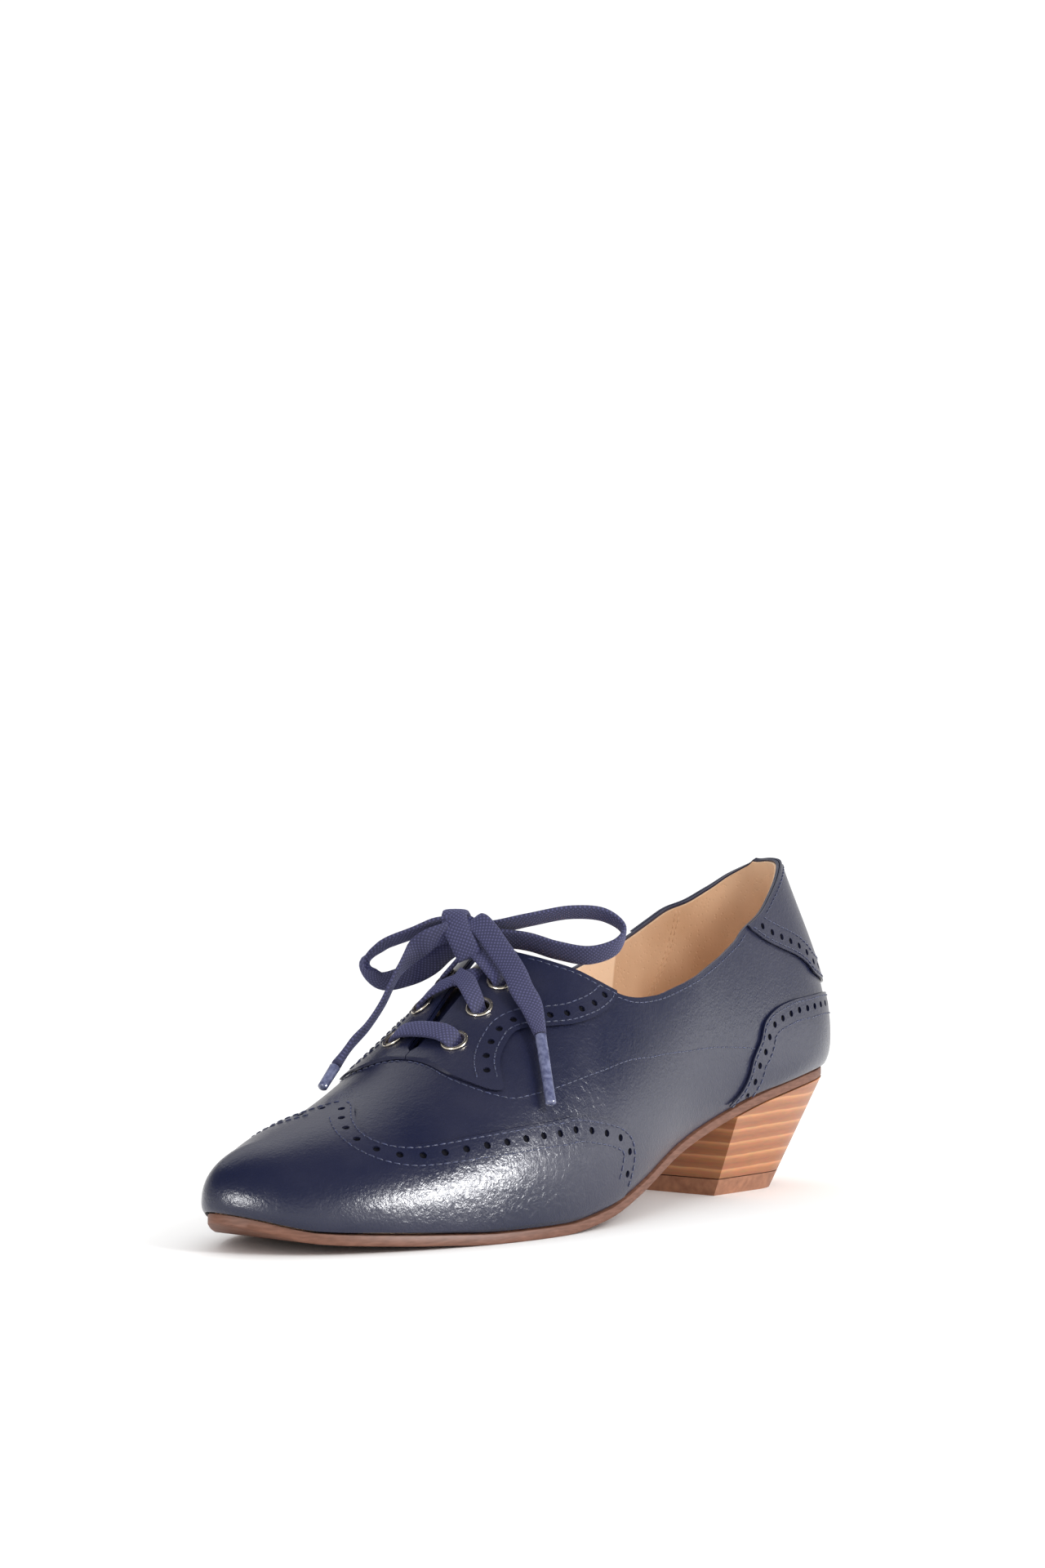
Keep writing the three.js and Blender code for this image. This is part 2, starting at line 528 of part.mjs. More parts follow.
const LEATHER = new THREE.MeshStandardMaterial({ color: 0x232a49, roughness: 0.38, metalness: 0 });
const LACE_COTTON = new THREE.MeshStandardMaterial({ color: 0x34375f, roughness: 0.9, metalness: 0 });
const LINING = new THREE.MeshStandardMaterial({ color: 0xc79563, roughness: 0.7, metalness: 0 });
const SOLE_LEATHER = new THREE.MeshStandardMaterial({ color: 0x9a6a54, roughness: 0.6, metalness: 0 });
const STACKED_WOOD = new THREE.MeshStandardMaterial({ color: 0xa8693f, roughness: 0.5, metalness: 0 });
const HEEL_RUBBER = new THREE.MeshStandardMaterial({ color: 0x7c4f36, roughness: 0.75, metalness: 0 });
const NICKEL = new THREE.MeshStandardMaterial({ color: 0xc9c3b4, roughness: 0.25, metalness: 1 });
const AGLET_PLASTIC = new THREE.MeshStandardMaterial({ color: 0x6f7398, roughness: 0.3, metalness: 0 });

const overlayDepth = UPPER_DEPTH - OVERLAY_GAP - OVERLAY_THICKNESS;
const facingTop = -overlayDepth;

// Holes for the eyelets, square to the last.
function eyeletPlace(side, { along, up }) {
  const centre = lastPoint(side, along, up);
  const normal = lastNormal(side, along, up);
  const turn = new THREE.Quaternion().setFromUnitVectors(new THREE.Vector3(0, 0, 1), normal);
  return { centre, normal, turn };
}

function eyeletHoles() {
  const holes = [];
  for (const side of [1, -1]) {
    for (const eyelet of EYELETS) {
      const { centre, turn } = eyeletPlace(side, eyelet);
      const drill = new THREE.CylinderGeometry(1, 1, UPPER_WALL * 8, 16).rotateX(Math.PI / 2);
      const radius = EYELET_BARREL + EYELET_CLEARANCE;
      drill.scale(radius, radius, 1).applyQuaternion(turn).translate(centre.x, centre.y, centre.z);
      holes.push(solidFrom(drill));
    }
  }
  return Manifold.union(holes);
}
const holes = eyeletHoles();

const makeUpper = () =>
  wallOfLast({ depth: UPPER_DEPTH, thickness: UPPER_WALL, edge: UPPER_EDGE }).subtract(holes);

const overlayWall = wallOfLast({
  depth: overlayDepth,
  thickness: OVERLAY_THICKNESS,
  edge: UPPER_EDGE,
  from: 0.035,
});

// What a laid-on piece keeps of each side: its outline as that side is seen, given by a function of the edge's line.
function sideBlocks(edge, steps, outline, middle = 0) {
  return [1, -1].map((side) => {
    const shape = outline(seenFromSide(side, edge, steps));
    return side > 0 ? sideBlock(shape, middle, FAR_OUT) : sideBlock(shape, -FAR_OUT, -middle);
  });
}

// The cap's wing has its peak on the ridge, so its front part is cut in plan and its sides as seen from the side.
const WING_KNEE = 5; // row of the edge's table where the one cut hands over to the other
function makeToeCap() {
  const front = WING_EDGE.slice(0, WING_KNEE + 1);
  const inPlan = (side) => front.map(([along, up]) => {
    const place = lastPoint(side, along, up);
    return [place.x, place.y];
  });
  const [outer, inner] = [inPlan(1), inPlan(-1)];
  const peak = lastPoint(1, WING_EDGE[0][0], 1);
  const line = smoothLine([...inner.reverse(), [peak.x, peak.y + PEAK_REACH], ...outer], 28);
  const [from, to] = [line[0], line[line.length - 1]];
  const plan = [...line, [FAR_OUT, to[1]], [FAR_OUT, -FAR_OUT], [-FAR_OUT, -FAR_OUT], [-FAR_OUT, from[1]]];
  const sides = sideBlocks(WING_EDGE.slice(WING_KNEE), 30, (edge) => {
    const [knee, foot] = [edge[0], edge[edge.length - 1]];
    return [[-FAR_OUT, knee[1]], ...edge, [foot[0], -SEAT_RISE], [-FAR_OUT, -SEAT_RISE]];
  });
  const kept = planBlock(plan, -FAR_OUT, FAR_OUT).add(sides[0]).add(sides[1]);
  return largestBody(overlayWall.intersect(kept));
}

function makeCounter() {
  const [outer, inner] = sideBlocks(COUNTER_EDGE, 24, (line) => {
    const [foot, rear] = [line[0], line[line.length - 1]];
    return [[foot[0], -SEAT_RISE], ...line, [FAR_OUT, rear[1]], [FAR_OUT, -SEAT_RISE]];
  });
  return largestBody(overlayWall.intersect(outer.add(inner)));
}

function makeHeelTab() {
  const [outer, inner] = sideBlocks(TAB_EDGE, 20, (line) => {
    const [front, rear] = [line[0], line[line.length - 1]];
    const lead = [front[0] - UPPER_WALL * 4, front[1] + UPPER_WALL * 4];
    return [lead, ...line, [FAR_OUT, rear[1]], [FAR_OUT, FAR_OUT], [lead[0], FAR_OUT]];
  });
  return largestBody(overlayWall.intersect(outer.add(inner)));
}

function makeFacings() {
  const shape = (line) => {
    const [front, rear] = [line[0], line[line.length - 1]];
    const lead = [rear[0] + UPPER_WALL, rear[1] + UPPER_WALL * 3];
    return [...line, lead, [lead[0], FAR_OUT], [front[0], FAR_OUT]];
  };
  return sideBlocks(FACING_EDGE, 34, shape, OVERLAY_GAP / 2).map((block) =>
    largestBody(overlayWall.intersect(block)).subtract(holes),
  );
}

function makeTongue() {
  const depth = UPPER_DEPTH + UPPER_WALL + TONGUE_GAP;
  const [sideUp, start, end, corner] = [0.81, 0.285, 0.462, 0.014];
  return sheet(12, 14, (i, j, k) => {
    const w = 1 - 2 * i;
    const side = w >= 0 ? 1 : -1;
    const up = w === 0 ? 1 : 1 - (1 - sideUp) * Math.abs(w);
    const tip = end - corner * Math.abs(w) ** 4;
    return onLast(side, start + (tip - start) * j, up, depth + k * TONGUE_THICKNESS);
  });
}

// The sole's outline in plan, moved inwards by an inset.
function soleOutline(inset, steps = 44) {
  const outline = [];
  const add = (side, along) => {
    const { value, slope } = lastColumn(side > 0 ? along : 2 - along);
    const run = Math.hypot(slope[0], slope[1]);
    outline.push([value[0] - (slope[1] / run) * inset, value[1] + (slope[0] / run) * inset]);
  };
  for (let i = 0; i < steps; i++) add(1, i / steps);
  for (let i = steps; i > 0; i--) add(-1, i / steps);
  return outline;
}

// A strip that follows the sole's underside between two heights above it.
function soleStrip(low, high, reach = 40) {
  const line = [];
  for (let i = 0; i <= reach; i++) {
    const y = -8 + (i / reach) * (LAST_LENGTH + 16);
    line.push([y, soleUnderside(y)]);
  }
  const lower = line.map(([y, z]) => [y, z + low]);
  const upper = line.map(([y, z]) => [y, z + high]).reverse();
  return sideBlock([...lower, ...upper], -FAR_OUT / 2, FAR_OUT / 2);
}

const soleRear = STATIONS[STATIONS.length - 1][0] * LAST_LENGTH;
const heelRear = soleRear - HEEL_UNDERCUT;
const heelBreast = heelRear - HEEL_HALF_WIDTH - HEEL_STRAIGHT;

const makeOutsole = () =>
  planBlock(soleOutline(0), -10, 80).intersect(soleStrip(0, SOLE_STEP - SOLE_GAP));

const makeInsole = () =>
  planBlock(soleOutline(INSOLE_INSET), -10, 80).intersect(
    soleStrip(SOLE_STEP, SOLE_STEP + INSOLE_THICKNESS),
  );

// The heel's block: its outline runs from a D at the ground to the sole's own outline above.
function makeHeelBlock() {
  const steps = 24;
  const rows = 4;
  const sole = (side, y) => {
    let [low, high] = [0.6, 1];
    for (let k = 0; k < 40; k++) {
      const mid = (low + high) / 2;
      if (lastColumn(side > 0 ? mid : 2 - mid).value[1] < y) low = mid;
      else high = mid;
    }
    return low;
  };
  const [nearStart, farStart] = [sole(1, heelBreast - HEEL_BREAST_LEAN), sole(-1, heelBreast - HEEL_BREAST_LEAN)];
  const turnEnd = (HEEL_HALF_WIDTH * Math.PI) / 2 + HEEL_STRAIGHT;
  const places = [];
  for (let i = 0; i <= 2 * steps; i++) {
    const side = i <= steps ? 1 : -1;
    const share = side > 0 ? i / steps : 2 - i / steps;
    const along = (side > 0 ? nearStart : farStart) + (1 - (side > 0 ? nearStart : farStart)) * share;
    const [x, y] = lastColumn(side > 0 ? along : 2 - along).value;
    const top = new THREE.Vector3(x, y, soleUnderside(y) - SOLE_GAP);
    const walked = turnEnd * share;
    const angle = Math.max(0, walked - HEEL_STRAIGHT) / HEEL_HALF_WIDTH;
    const bottom = new THREE.Vector3(
      HEEL_AXIS + side * HEEL_HALF_WIDTH * Math.cos(angle),
      heelBreast + Math.min(walked, HEEL_STRAIGHT) + HEEL_HALF_WIDTH * Math.sin(angle),
      0,
    );
    places.push({ top, bottom });
  }
  const level = (w) => places.map(({ top, bottom }) => bottom.clone().lerp(top, w));
  const rings = [];
  for (let j = 0; j <= rows; j++) rings.push(level(j / rows));
  const faces = new Faces();
  const last = 2 * steps;
  for (let j = 0; j < rows; j++) {
    for (let i = 0; i < last; i++) {
      faces.quad(rings[j][i], rings[j][i + 1], rings[j + 1][i + 1], rings[j + 1][i]);
    }
    faces.quad(rings[j][last], rings[j][0], rings[j + 1][0], rings[j + 1][last]);
  }
  for (let i = 0; i < steps; i++) {
    const [bottom, top] = [rings[0], rings[rows]];
    faces.quad(bottom[i], bottom[last - i], bottom[last - i - 1], bottom[i + 1]);
    faces.quad(top[i], top[i + 1], top[last - i - 1], top[last - i]);
  }
  return solidFrom(faces.geometry());
}
const heelBlock = makeHeelBlock();
const makeTopPiece = () => heelBlock.trimByPlane([0, 0, -1], -TOP_PIECE_THICKNESS);
const makeHeelStack = () => heelBlock.trimByPlane([0, 0, 1], TOP_PIECE_THICKNESS + SOLE_GAP);

// A ring with a lip that lies on the facing and a barrel that goes down through it.
function makeEyelet(side, eyelet) {
  const base = facingTop + EYELET_CLEARANCE;
  const foot = -(UPPER_DEPTH + UPPER_WALL + TONGUE_GAP * 0.4);
  const profile = [
    [EYELET_HOLE, foot], [EYELET_BARREL, foot], [EYELET_BARREL, base], [EYELET_RIM, base],
    [EYELET_RIM - 0.25, base + EYELET_LIP], [EYELET_HOLE + 0.3, base + EYELET_LIP], [EYELET_HOLE, base + 0.2],
    [EYELET_HOLE, foot],
  ];
  const ring = new THREE.LatheGeometry(profile.map(([r, h]) => new THREE.Vector2(r, h)), 12).rotateX(Math.PI / 2);
  const { centre, turn } = eyeletPlace(side, eyelet);
  return solidFrom(ring.applyQuaternion(turn).translate(centre.x, centre.y, centre.z));
}

// A place of the lace over an eyelet or over the slit, with the width along the throat.
const overThroat = (side, along, up, lift) => {
  const p = onLast(side, along, up, -facingTop - lift);
  return [p.x, p.y, p.z, 0, 0.8, 0.6];
};

function makeLaceBar() {
  const { along, up } = EYELETS[0];
  return band(
    [
      overThroat(-1, along, up, LACE_LIFT),
      overThroat(-1, along, 0.95, LACE_LIFT),
      overThroat(1, along, 0.95, LACE_LIFT),
      overThroat(1, along, up, LACE_LIFT),
    ],
    LACE_WIDTH,
    LACE_THICKNESS,
    14,
  );
}

function makeLaceCross() {
  const { along, up } = EYELETS[1];
  const strands = [1, -1].map((side) =>
    band(
      [
        overThroat(side, along, up, LACE_LIFT),
        overThroat(side, along + 0.009, 0.93, LACE_LIFT),
        overThroat(-side, along + 0.022, 0.985, LACE_LIFT),
      ],
      LACE_WIDTH,
      LACE_THICKNESS,
      10,
    ),
  );
  return strands[0].add(strands[1]);
}

function makeLaceTie(side) {
  const { along, up } = EYELETS[2];
  const lift = LACE_LIFT;
  return band(
    [
      overThroat(side, along, up, lift),
      overThroat(side, along + 0.002, 0.91, lift + 0.3),
      overThroat(side, along + 0.004, 0.945, lift + 0.6),
    ],
    LACE_WIDTH * 0.7,
    LACE_THICKNESS,
    8,
  );
}

function makeAglet([from, to]) {
  const [a, b] = [new THREE.Vector3(...from), new THREE.Vector3(...to)];
  const length = a.distanceTo(b);
  const pin = new THREE.CylinderGeometry(AGLET_RADIUS, AGLET_RADIUS, length, 12);
  const turn = new THREE.Quaternion().setFromUnitVectors(new THREE.Vector3(0, 1, 0), b.clone().sub(a).normalize());
  const middle = a.clone().add(b).multiplyScalar(0.5);
  return solidFrom(pin.applyQuaternion(turn).translate(middle.x, middle.y, middle.z));
}

const shoe = new THREE.Group();
shoe.name = "oxford";
shoe.position.set(-HEEL_AXIS, -(heelBreast + heelRear) / 2, 0);

function addPiece(name, solid, material) {
  const piece = new THREE.Mesh(geometryFrom(solid), material);
  piece.name = name;
  shoe.add(piece);
}

addPiece("upper", makeUpper(), LEATHER);
addPiece("toe_cap", makeToeCap(), LEATHER);
addPiece("heel_counter", makeCounter(), LEATHER);
addPiece("heel_tab", makeHeelTab(), LEATHER);
const [facingOuter, facingInner] = makeFacings();
addPiece("facing_outer", facingOuter, LEATHER);
addPiece("facing_inner", facingInner, LEATHER);
addPiece("tongue", makeTongue(), LEATHER);
addPiece("insole", makeInsole(), LINING);
addPiece("outsole", makeOutsole(), SOLE_LEATHER);
addPiece("heel_stack", makeHeelStack(), STACKED_WOOD);
addPiece("heel_top_piece", makeTopPiece(), HEEL_RUBBER);
EYELETS.forEach((eyelet, i) => {
  addPiece(`eyelet_outer_${i + 1}`, makeEyelet(1, eyelet), NICKEL);
  addPiece(`eyelet_inner_${i + 1}`, makeEyelet(-1, eyelet), NICKEL);
});
addPiece("lace_bar", makeLaceBar(), LACE_COTTON);
addPiece("lace_cross", makeLaceCross(), LACE_COTTON);
addPiece("lace_tie_outer", makeLaceTie(1), LACE_COTTON);
addPiece("lace_tie_inner", makeLaceTie(-1), LACE_COTTON);
addPiece("lace_knot", band(KNOT_ROUTE, 10, 6.5, 10), LACE_COTTON);
addPiece("lace_loop_inner", band(LOOP_FAR_ROUTE, LACE_WIDTH, LACE_THICKNESS, 20), LACE_COTTON);
addPiece("lace_loop_outer", band(LOOP_NEAR_ROUTE, LACE_WIDTH, LACE_THICKNESS, 24), LACE_COTTON);
addPiece("lace_end_inner", band(END_FAR_ROUTE, LACE_WIDTH, LACE_THICKNESS, 16), LACE_COTTON);
addPiece("lace_end_outer", band(END_NEAR_ROUTE, LACE_WIDTH, LACE_THICKNESS, 14), LACE_COTTON);
addPiece("aglet_inner", makeAglet(AGLET_FAR), AGLET_PLASTIC);
addPiece("aglet_outer", makeAglet(AGLET_NEAR), AGLET_PLASTIC);

export default shoe;
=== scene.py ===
import math

import bmesh
import bpy
import numpy as np
from mathutils import Matrix, Vector


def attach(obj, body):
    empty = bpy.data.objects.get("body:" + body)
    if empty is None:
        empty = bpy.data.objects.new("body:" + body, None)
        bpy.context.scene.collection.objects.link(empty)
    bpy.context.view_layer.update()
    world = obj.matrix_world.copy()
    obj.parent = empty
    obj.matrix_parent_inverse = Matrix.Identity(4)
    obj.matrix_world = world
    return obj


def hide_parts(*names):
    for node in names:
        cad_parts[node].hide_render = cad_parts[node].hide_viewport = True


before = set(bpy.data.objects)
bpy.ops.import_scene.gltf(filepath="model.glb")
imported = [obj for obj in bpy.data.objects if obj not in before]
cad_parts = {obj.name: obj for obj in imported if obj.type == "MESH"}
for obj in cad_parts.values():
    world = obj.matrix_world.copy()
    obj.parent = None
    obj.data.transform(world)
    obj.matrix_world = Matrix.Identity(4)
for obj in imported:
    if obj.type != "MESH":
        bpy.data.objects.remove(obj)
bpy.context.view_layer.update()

# View.
# One left shoe stands on a white table and is seen a little from the front of its outer side.
# The eye is low, at about the height of the collar, and looks very slightly up.
EYE = (486.4, -672.05, 91.8)
VIEW_TURN = math.radians(40.05)
VIEW_RISE = math.radians(-2.63)
FOCAL_PIXELS = 3123.0
PICTURE_HEIGHT = 1920.0

camera_data = bpy.data.cameras.new("studio_camera")
camera = bpy.data.objects.new("studio_camera", camera_data)
bpy.context.scene.collection.objects.link(camera)
behind_eye = Vector(
    (
        math.sin(VIEW_TURN) * math.cos(VIEW_RISE),
        -math.cos(VIEW_TURN) * math.cos(VIEW_RISE),
        math.sin(VIEW_RISE),
    )
)
to_right = Vector((math.cos(VIEW_TURN), math.sin(VIEW_TURN), 0.0))
upwards = behind_eye.cross(to_right)
camera.matrix_world = Matrix.Translation(Vector(EYE) / 1000.0) @ Matrix(
    (to_right, upwards, behind_eye)
).transposed().to_4x4()
camera_data.sensor_width = 36.0
camera_data.lens = FOCAL_PIXELS * 36.0 / PICTURE_HEIGHT
camera_data.clip_start = 0.01
camera_data.clip_end = 30.0
bpy.context.scene.camera = camera
bpy.context.scene.view_settings.view_transform = "Standard"
bpy.context.scene.view_settings.look = "None"


# Lace.
# A flat cotton lace, woven as a tube and pressed flat. It is tied in a bow over the top eyelets,
# and each end is gripped in a tinted plastic tip.
LACE_WIDTH = 7.4
LACE_THICKNESS = 1.5
TIP_WIDTH = 3.5
TIP_DEPTH = 3.0
HEEL_AXIS = -1.0
HEEL_MIDDLE = 212.35


def in_metres(points):
    points = np.asarray(points, float)
    return (points + np.array([-HEEL_AXIS, -HEEL_MIDDLE, 0.0])) / 1000.0


def smooth_line(points, steps):
    points = np.asarray(points, float)
    chords = np.linalg.norm(np.diff(points[:, :3], axis=0), axis=1)
    knots = np.concatenate([[0.0], np.cumsum(np.sqrt(chords))])
    slopes = np.gradient(points, knots, axis=0)
    at = np.linspace(0.0, knots[-1], steps)
    low = np.clip(np.searchsorted(knots, at, side="right") - 1, 0, len(knots) - 2)
    gap = (knots[low + 1] - knots[low])[:, None]
    share = ((at - knots[low])[:, None]) / gap
    return (
        (1 + 2 * share) * (1 - share) ** 2 * points[low]
        + share * (1 - share) ** 2 * gap * slopes[low]
        + share**2 * (3 - 2 * share) * points[low + 1]
        + share**2 * (share - 1) * gap * slopes[low + 1]
    )


def new_piece(name, points, faces, material, smooth=True):
    mesh = bpy.data.meshes.new(name)
    mesh.from_pydata([tuple(p) for p in points], [], [tuple(f) for f in faces])
    mesh.update()
    piece = bpy.data.objects.new(name, mesh)
    bpy.context.scene.collection.objects.link(piece)
    if material is not None:
        mesh.materials.append(material)
    if smooth:
        mesh.shade_smooth()
    return piece


def face_outwards(piece):
    work = bmesh.new()
    work.from_mesh(piece.data)
    bmesh.ops.recalc_face_normals(work, faces=work.faces)
    work.to_mesh(piece.data)
    work.free()


def flat_band(name, route, material, steps, width=LACE_WIDTH, thickness=LACE_THICKNESS, pinch=None):
    """A flat lace along a route of x, y, z and the direction of its width, in millimetres."""
    line = smooth_line(route, steps)
    centre = line[:, :3]
    ahead = np.gradient(centre, axis=0)
    ahead /= np.linalg.norm(ahead, axis=1)[:, None]
    wide = line[:, 3:6] - (line[:, 3:6] * ahead).sum(1)[:, None] * ahead
    wide /= np.linalg.norm(wide, axis=1)[:, None]
    flat = np.cross(ahead, wide)
    angles = np.arange(16) / 16.0 * 2.0 * np.pi
    across = np.sign(np.cos(angles)) * np.abs(np.cos(angles)) ** 0.75 / 2.0
    through = np.sign(np.sin(angles)) * np.abs(np.sin(angles)) ** 0.6 / 2.0
    run = np.concatenate([[0.0], np.cumsum(np.linalg.norm(np.diff(centre, axis=0), axis=1))])
    widths = np.full(steps, width)
    depths = np.full(steps, thickness)
    if pinch is not None:
        left = (run[-1] - run) / pinch
        near_tip = np.clip(1.0 - left, 0.0, 1.0) ** 1.4
        widths = widths * (1 - near_tip) + TIP_WIDTH * near_tip
        depths = depths * (1 - near_tip) + TIP_DEPTH * near_tip
    rings = (
        centre[:, None, :]
        + wide[:, None, :] * (across[None, :, None] * widths[:, None, None])
        + flat[:, None, :] * (through[None, :, None] * depths[:, None, None])
    )
    around = len(angles)
    points = in_metres(rings.reshape(-1, 3))
    faces = []
    weave = []
    for i in range(steps - 1):
        for k in range(around):
            m = (k + 1) % around
            faces.append((i * around + k, i * around + m, (i + 1) * around + m, (i + 1) * around + k))
            corners = ((i, k), (i, m), (i + 1, m), (i + 1, k))
            weave += [(run[ring], across[place] * width) for ring, place in corners]
    faces.append(tuple(reversed(range(around))))
    weave += [(0.0, 0.0)] * around
    faces.append(tuple((steps - 1) * around + k for k in range(around)))
    weave += [(run[-1], 0.0)] * around
    piece = new_piece(name, points, faces, material)
    layer = piece.data.uv_layers.new(name="along_lace")
    layer.data.foreach_set("uv", np.array(weave, np.float32).ravel())
    return piece, in_metres(centre)


def new_finish(name):
    finish = bpy.data.materials.new(name)
    finish.use_nodes = True
    return finish


def feed(finish, step, inputs):
    """Each input of a finish's step takes a value, or what another step gives."""
    for entry, value in inputs.items():
        if isinstance(value, bpy.types.NodeSocket):
            finish.node_tree.links.new(value, step.inputs[entry])
        else:
            step.inputs[entry].default_value = value


def finish_step(finish, kind, inputs, **settings):
    step = finish.node_tree.nodes.new("ShaderNode" + kind)
    for setting, value in settings.items():
        setattr(step, setting, value)
    feed(finish, step, inputs)
    return step


def dress(finish, inputs):
    feed(finish, finish.node_tree.nodes["Principled BSDF"], inputs)


def place_on_piece(finish):
    return finish_step(finish, "TexCoord", {}).outputs["Object"]


def clouds(finish, place, scale, detail=2.0):
    return finish_step(finish, "TexNoise", {"Vector": place, "Scale": scale, "Detail": detail}).outputs["Fac"]


def combined(finish, how, *shares):
    return finish_step(finish, "Math", dict(enumerate(shares)), operation=how).outputs[0]


def tones(finish, share, colours):
    """Colours that blend from one to the next as the share rises, each with the share where it is pure."""
    blend = finish_step(finish, "ValToRGB", {"Fac": share})
    stops = blend.color_ramp.elements
    for stop, (at, colour) in zip(stops, (colours[0], colours[-1])):
        stop.position = at
        stop.color = (*colour, 1)
    for at, colour in colours[1:-1]:
        stops.new(at).color = (*colour, 1)
    return blend.outputs["Color"]


def relief(finish, height, strength, distance):
    inputs = {"Height": height, "Strength": strength, "Distance": distance}
    return finish_step(finish, "Bump", inputs).outputs["Normal"]


lace_cotton = new_finish("lace_cotton")
lace_place = finish_step(lace_cotton, "UVMap", {}, uv_map="along_lace").outputs["UV"]
lace_ribs = []
for turn in (42, -42):
    lace_slant = {"Vector": lace_place, "Rotation": (0, 0, math.radians(turn))}
    lace_turn = finish_step(lace_cotton, "Mapping", lace_slant)
    lace_rib = {"Vector": lace_turn.outputs["Vector"], "Scale": 0.34, "Distortion": 0.6, "Detail": 1.0}
    lace_ribs.append(finish_step(lace_cotton, "TexWave", lace_rib).outputs["Fac"])
lace_weave = combined(lace_cotton, "MULTIPLY", *lace_ribs)
LACE_TONES = [(0.0, (0.018, 0.019, 0.062)), (1.0, (0.068, 0.068, 0.175))]
dress(
    lace_cotton,
    {
        "Base Color": tones(lace_cotton, lace_weave, LACE_TONES),
        "Roughness": 0.92,
        "Sheen Weight": 0.35,
        "Sheen Roughness": 0.4,
        "Sheen Tint": (0.30, 0.32, 0.62, 1),
        "Normal": relief(lace_cotton, lace_weave, 0.55, 0.0002),
    },
)

KNOT_ROUTE = [
    [0.5, 93.6, 75.6, 1, 0.5, 0],
    [-1.5, 92.8, 80, 1, 0.5, 0],
    [-4.4, 93.0, 84.6, 1, 0.5, 0],
    [-6.2, 94.4, 87.6, 1, 0.5, 0],
    [-7.6, 96.6, 88.6, 1, 0.5, 0],
    [-8.4, 98.8, 87.2, 1, 0.5, 0],
    [-8.2, 99.8, 84.2, 1, 0.5, 0],
    [-6.6, 99.8, 80.5, 1, 0.5, 0],
]
KNOT_CORE = [
    [-0.8, 95.6, 76.6, 1, 0.5, 0],
    [-2.6, 96.2, 79.5, 1, 0.5, 0],
    [-4.4, 96.6, 82.5, 1, 0.5, 0],
    [-6.0, 96.8, 85.6, 1, 0.5, 0],
]
LOOP_FAR_ROUTE = [
    [-7, 95.0, 85.6, 0.6, -0.7, 0.5],
    [-12, 92.5, 85.2, 0.6, -0.7, 0.4],
    [-18, 89.3, 82.5, 0.6, -0.7, 0.4],
    [-27, 86, 78.6, 0.7, -0.6, 0.4],
    [-33.5, 86.3, 73, 0.72, -0.42, 0.4],
    [-31.5, 90, 68.4, 0.6, -0.42, 0.62],
    [-24, 93.2, 69.8, 0.4, -0.5, 0.8],
    [-16, 95, 73.4, 0.4, -0.5, 0.8],
    [-11.5, 96, 77, 0.4, -0.5, 0.8],
    [-6.5, 97, 80.5, 0.4, -0.5, 0.8],
]
LOOP_NEAR_ROUTE = [
    [-4.5, 99.5, 84.0, 0.6, -0.7, 0.5],
    [0.5, 103.6, 84.2, 0.6, -0.7, 0.5],
    [10, 108.8, 86.4, 0.6, -0.7, 0.5],
    [20, 116.4, 88.6, 0.6, -0.7, 0.5],
    [27, 123.2, 87.6, 0.6, -0.7, 0.5],
    [31, 126.5, 83.4, 0.6, -0.7, 0.4],
    [30.5, 124, 79, 0.5, -0.6, 0.6],
    [25, 118.5, 76.2, 0.5, -0.5, 0.7],
    [16.5, 113.5, 77.6, 0.5, -0.5, 0.7],
    [9, 109.8, 80, 0.5, -0.5, 0.7],
    [2, 105.2, 81, 0.5, -0.5, 0.7],
    [-4, 100.5, 81, 0.5, -0.5, 0.7],
]
END_FAR_ROUTE = [
    [-6.0, 92.5, 83.0, 0.3, -0.4, 0.9],
    [-11, 88.4, 80.6, 0.3, -0.4, 0.9],
    [-16, 87.4, 76.5, 0.4, -0.5, 0.8],
    [-19, 84.1, 70.9, 0.6, -0.7, 0.4],
    [-21, 79.7, 62, 0.6, -0.8, 0.2],
    [-22, 74.6, 55.8, 0.6, -0.7, 0.3],
    [-22, 68.2, 51.2, 0.6, -0.6, 0.4],
    [-22, 64.6, 47.9, 0.7, -0.5, 0.4],
    [-21.5, 61.5, 45.6, 0.7, -0.5, 0.4],
]
END_NEAR_ROUTE = [
    [-5.0, 97.6, 82.6, 0.6, 0.5, 0.3],
    [-2.6, 96.8, 85.2, 0.6, 0.5, 0.4],
    [1.2, 96.2, 85.6, 0.6, 0.5, 0.6],
    [5.2, 96.2, 82.6, 0.6, 0.5, 0.7],
    [8.4, 96.1, 79.2, 0.6, 0.5, 0.7],
    [12.8, 95.8, 74.8, 0.6, 0.5, 0.6],
    [17.2, 94.4, 70.8, 0.7, 0.6, 0.5],
    [20.8, 92.8, 66.8, 0.7, 0.6, 0.3],
    [24.4, 92.2, 62.9, 0.8, 0.6, 0.1],
    [27.8, 90.5, 58.6, 0.8, 0.6, 0],
    [30.4, 89.3, 54.8, 0.8, 0.6, 0],
]
AGLET_FAR = [[-21.3, 60.7, 45], [-20.4, 54.5, 39.4]]
AGLET_NEAR = [[30.6, 89.2, 54.5], [40.6, 81.6, 36.4]]

aglet_plastic = new_finish("aglet_plastic")
aglet_streak = clouds(aglet_plastic, place_on_piece(aglet_plastic), 700)
AGLET_TONES = [(0.35, (0.070, 0.078, 0.155)), (0.7, (0.17, 0.185, 0.30))]
dress(
    aglet_plastic,
    {
        "Base Color": tones(aglet_plastic, aglet_streak, AGLET_TONES),
        "Roughness": 0.22,
        "Coat Weight": 0.6,
        "Coat Roughness": 0.12,
    },
)


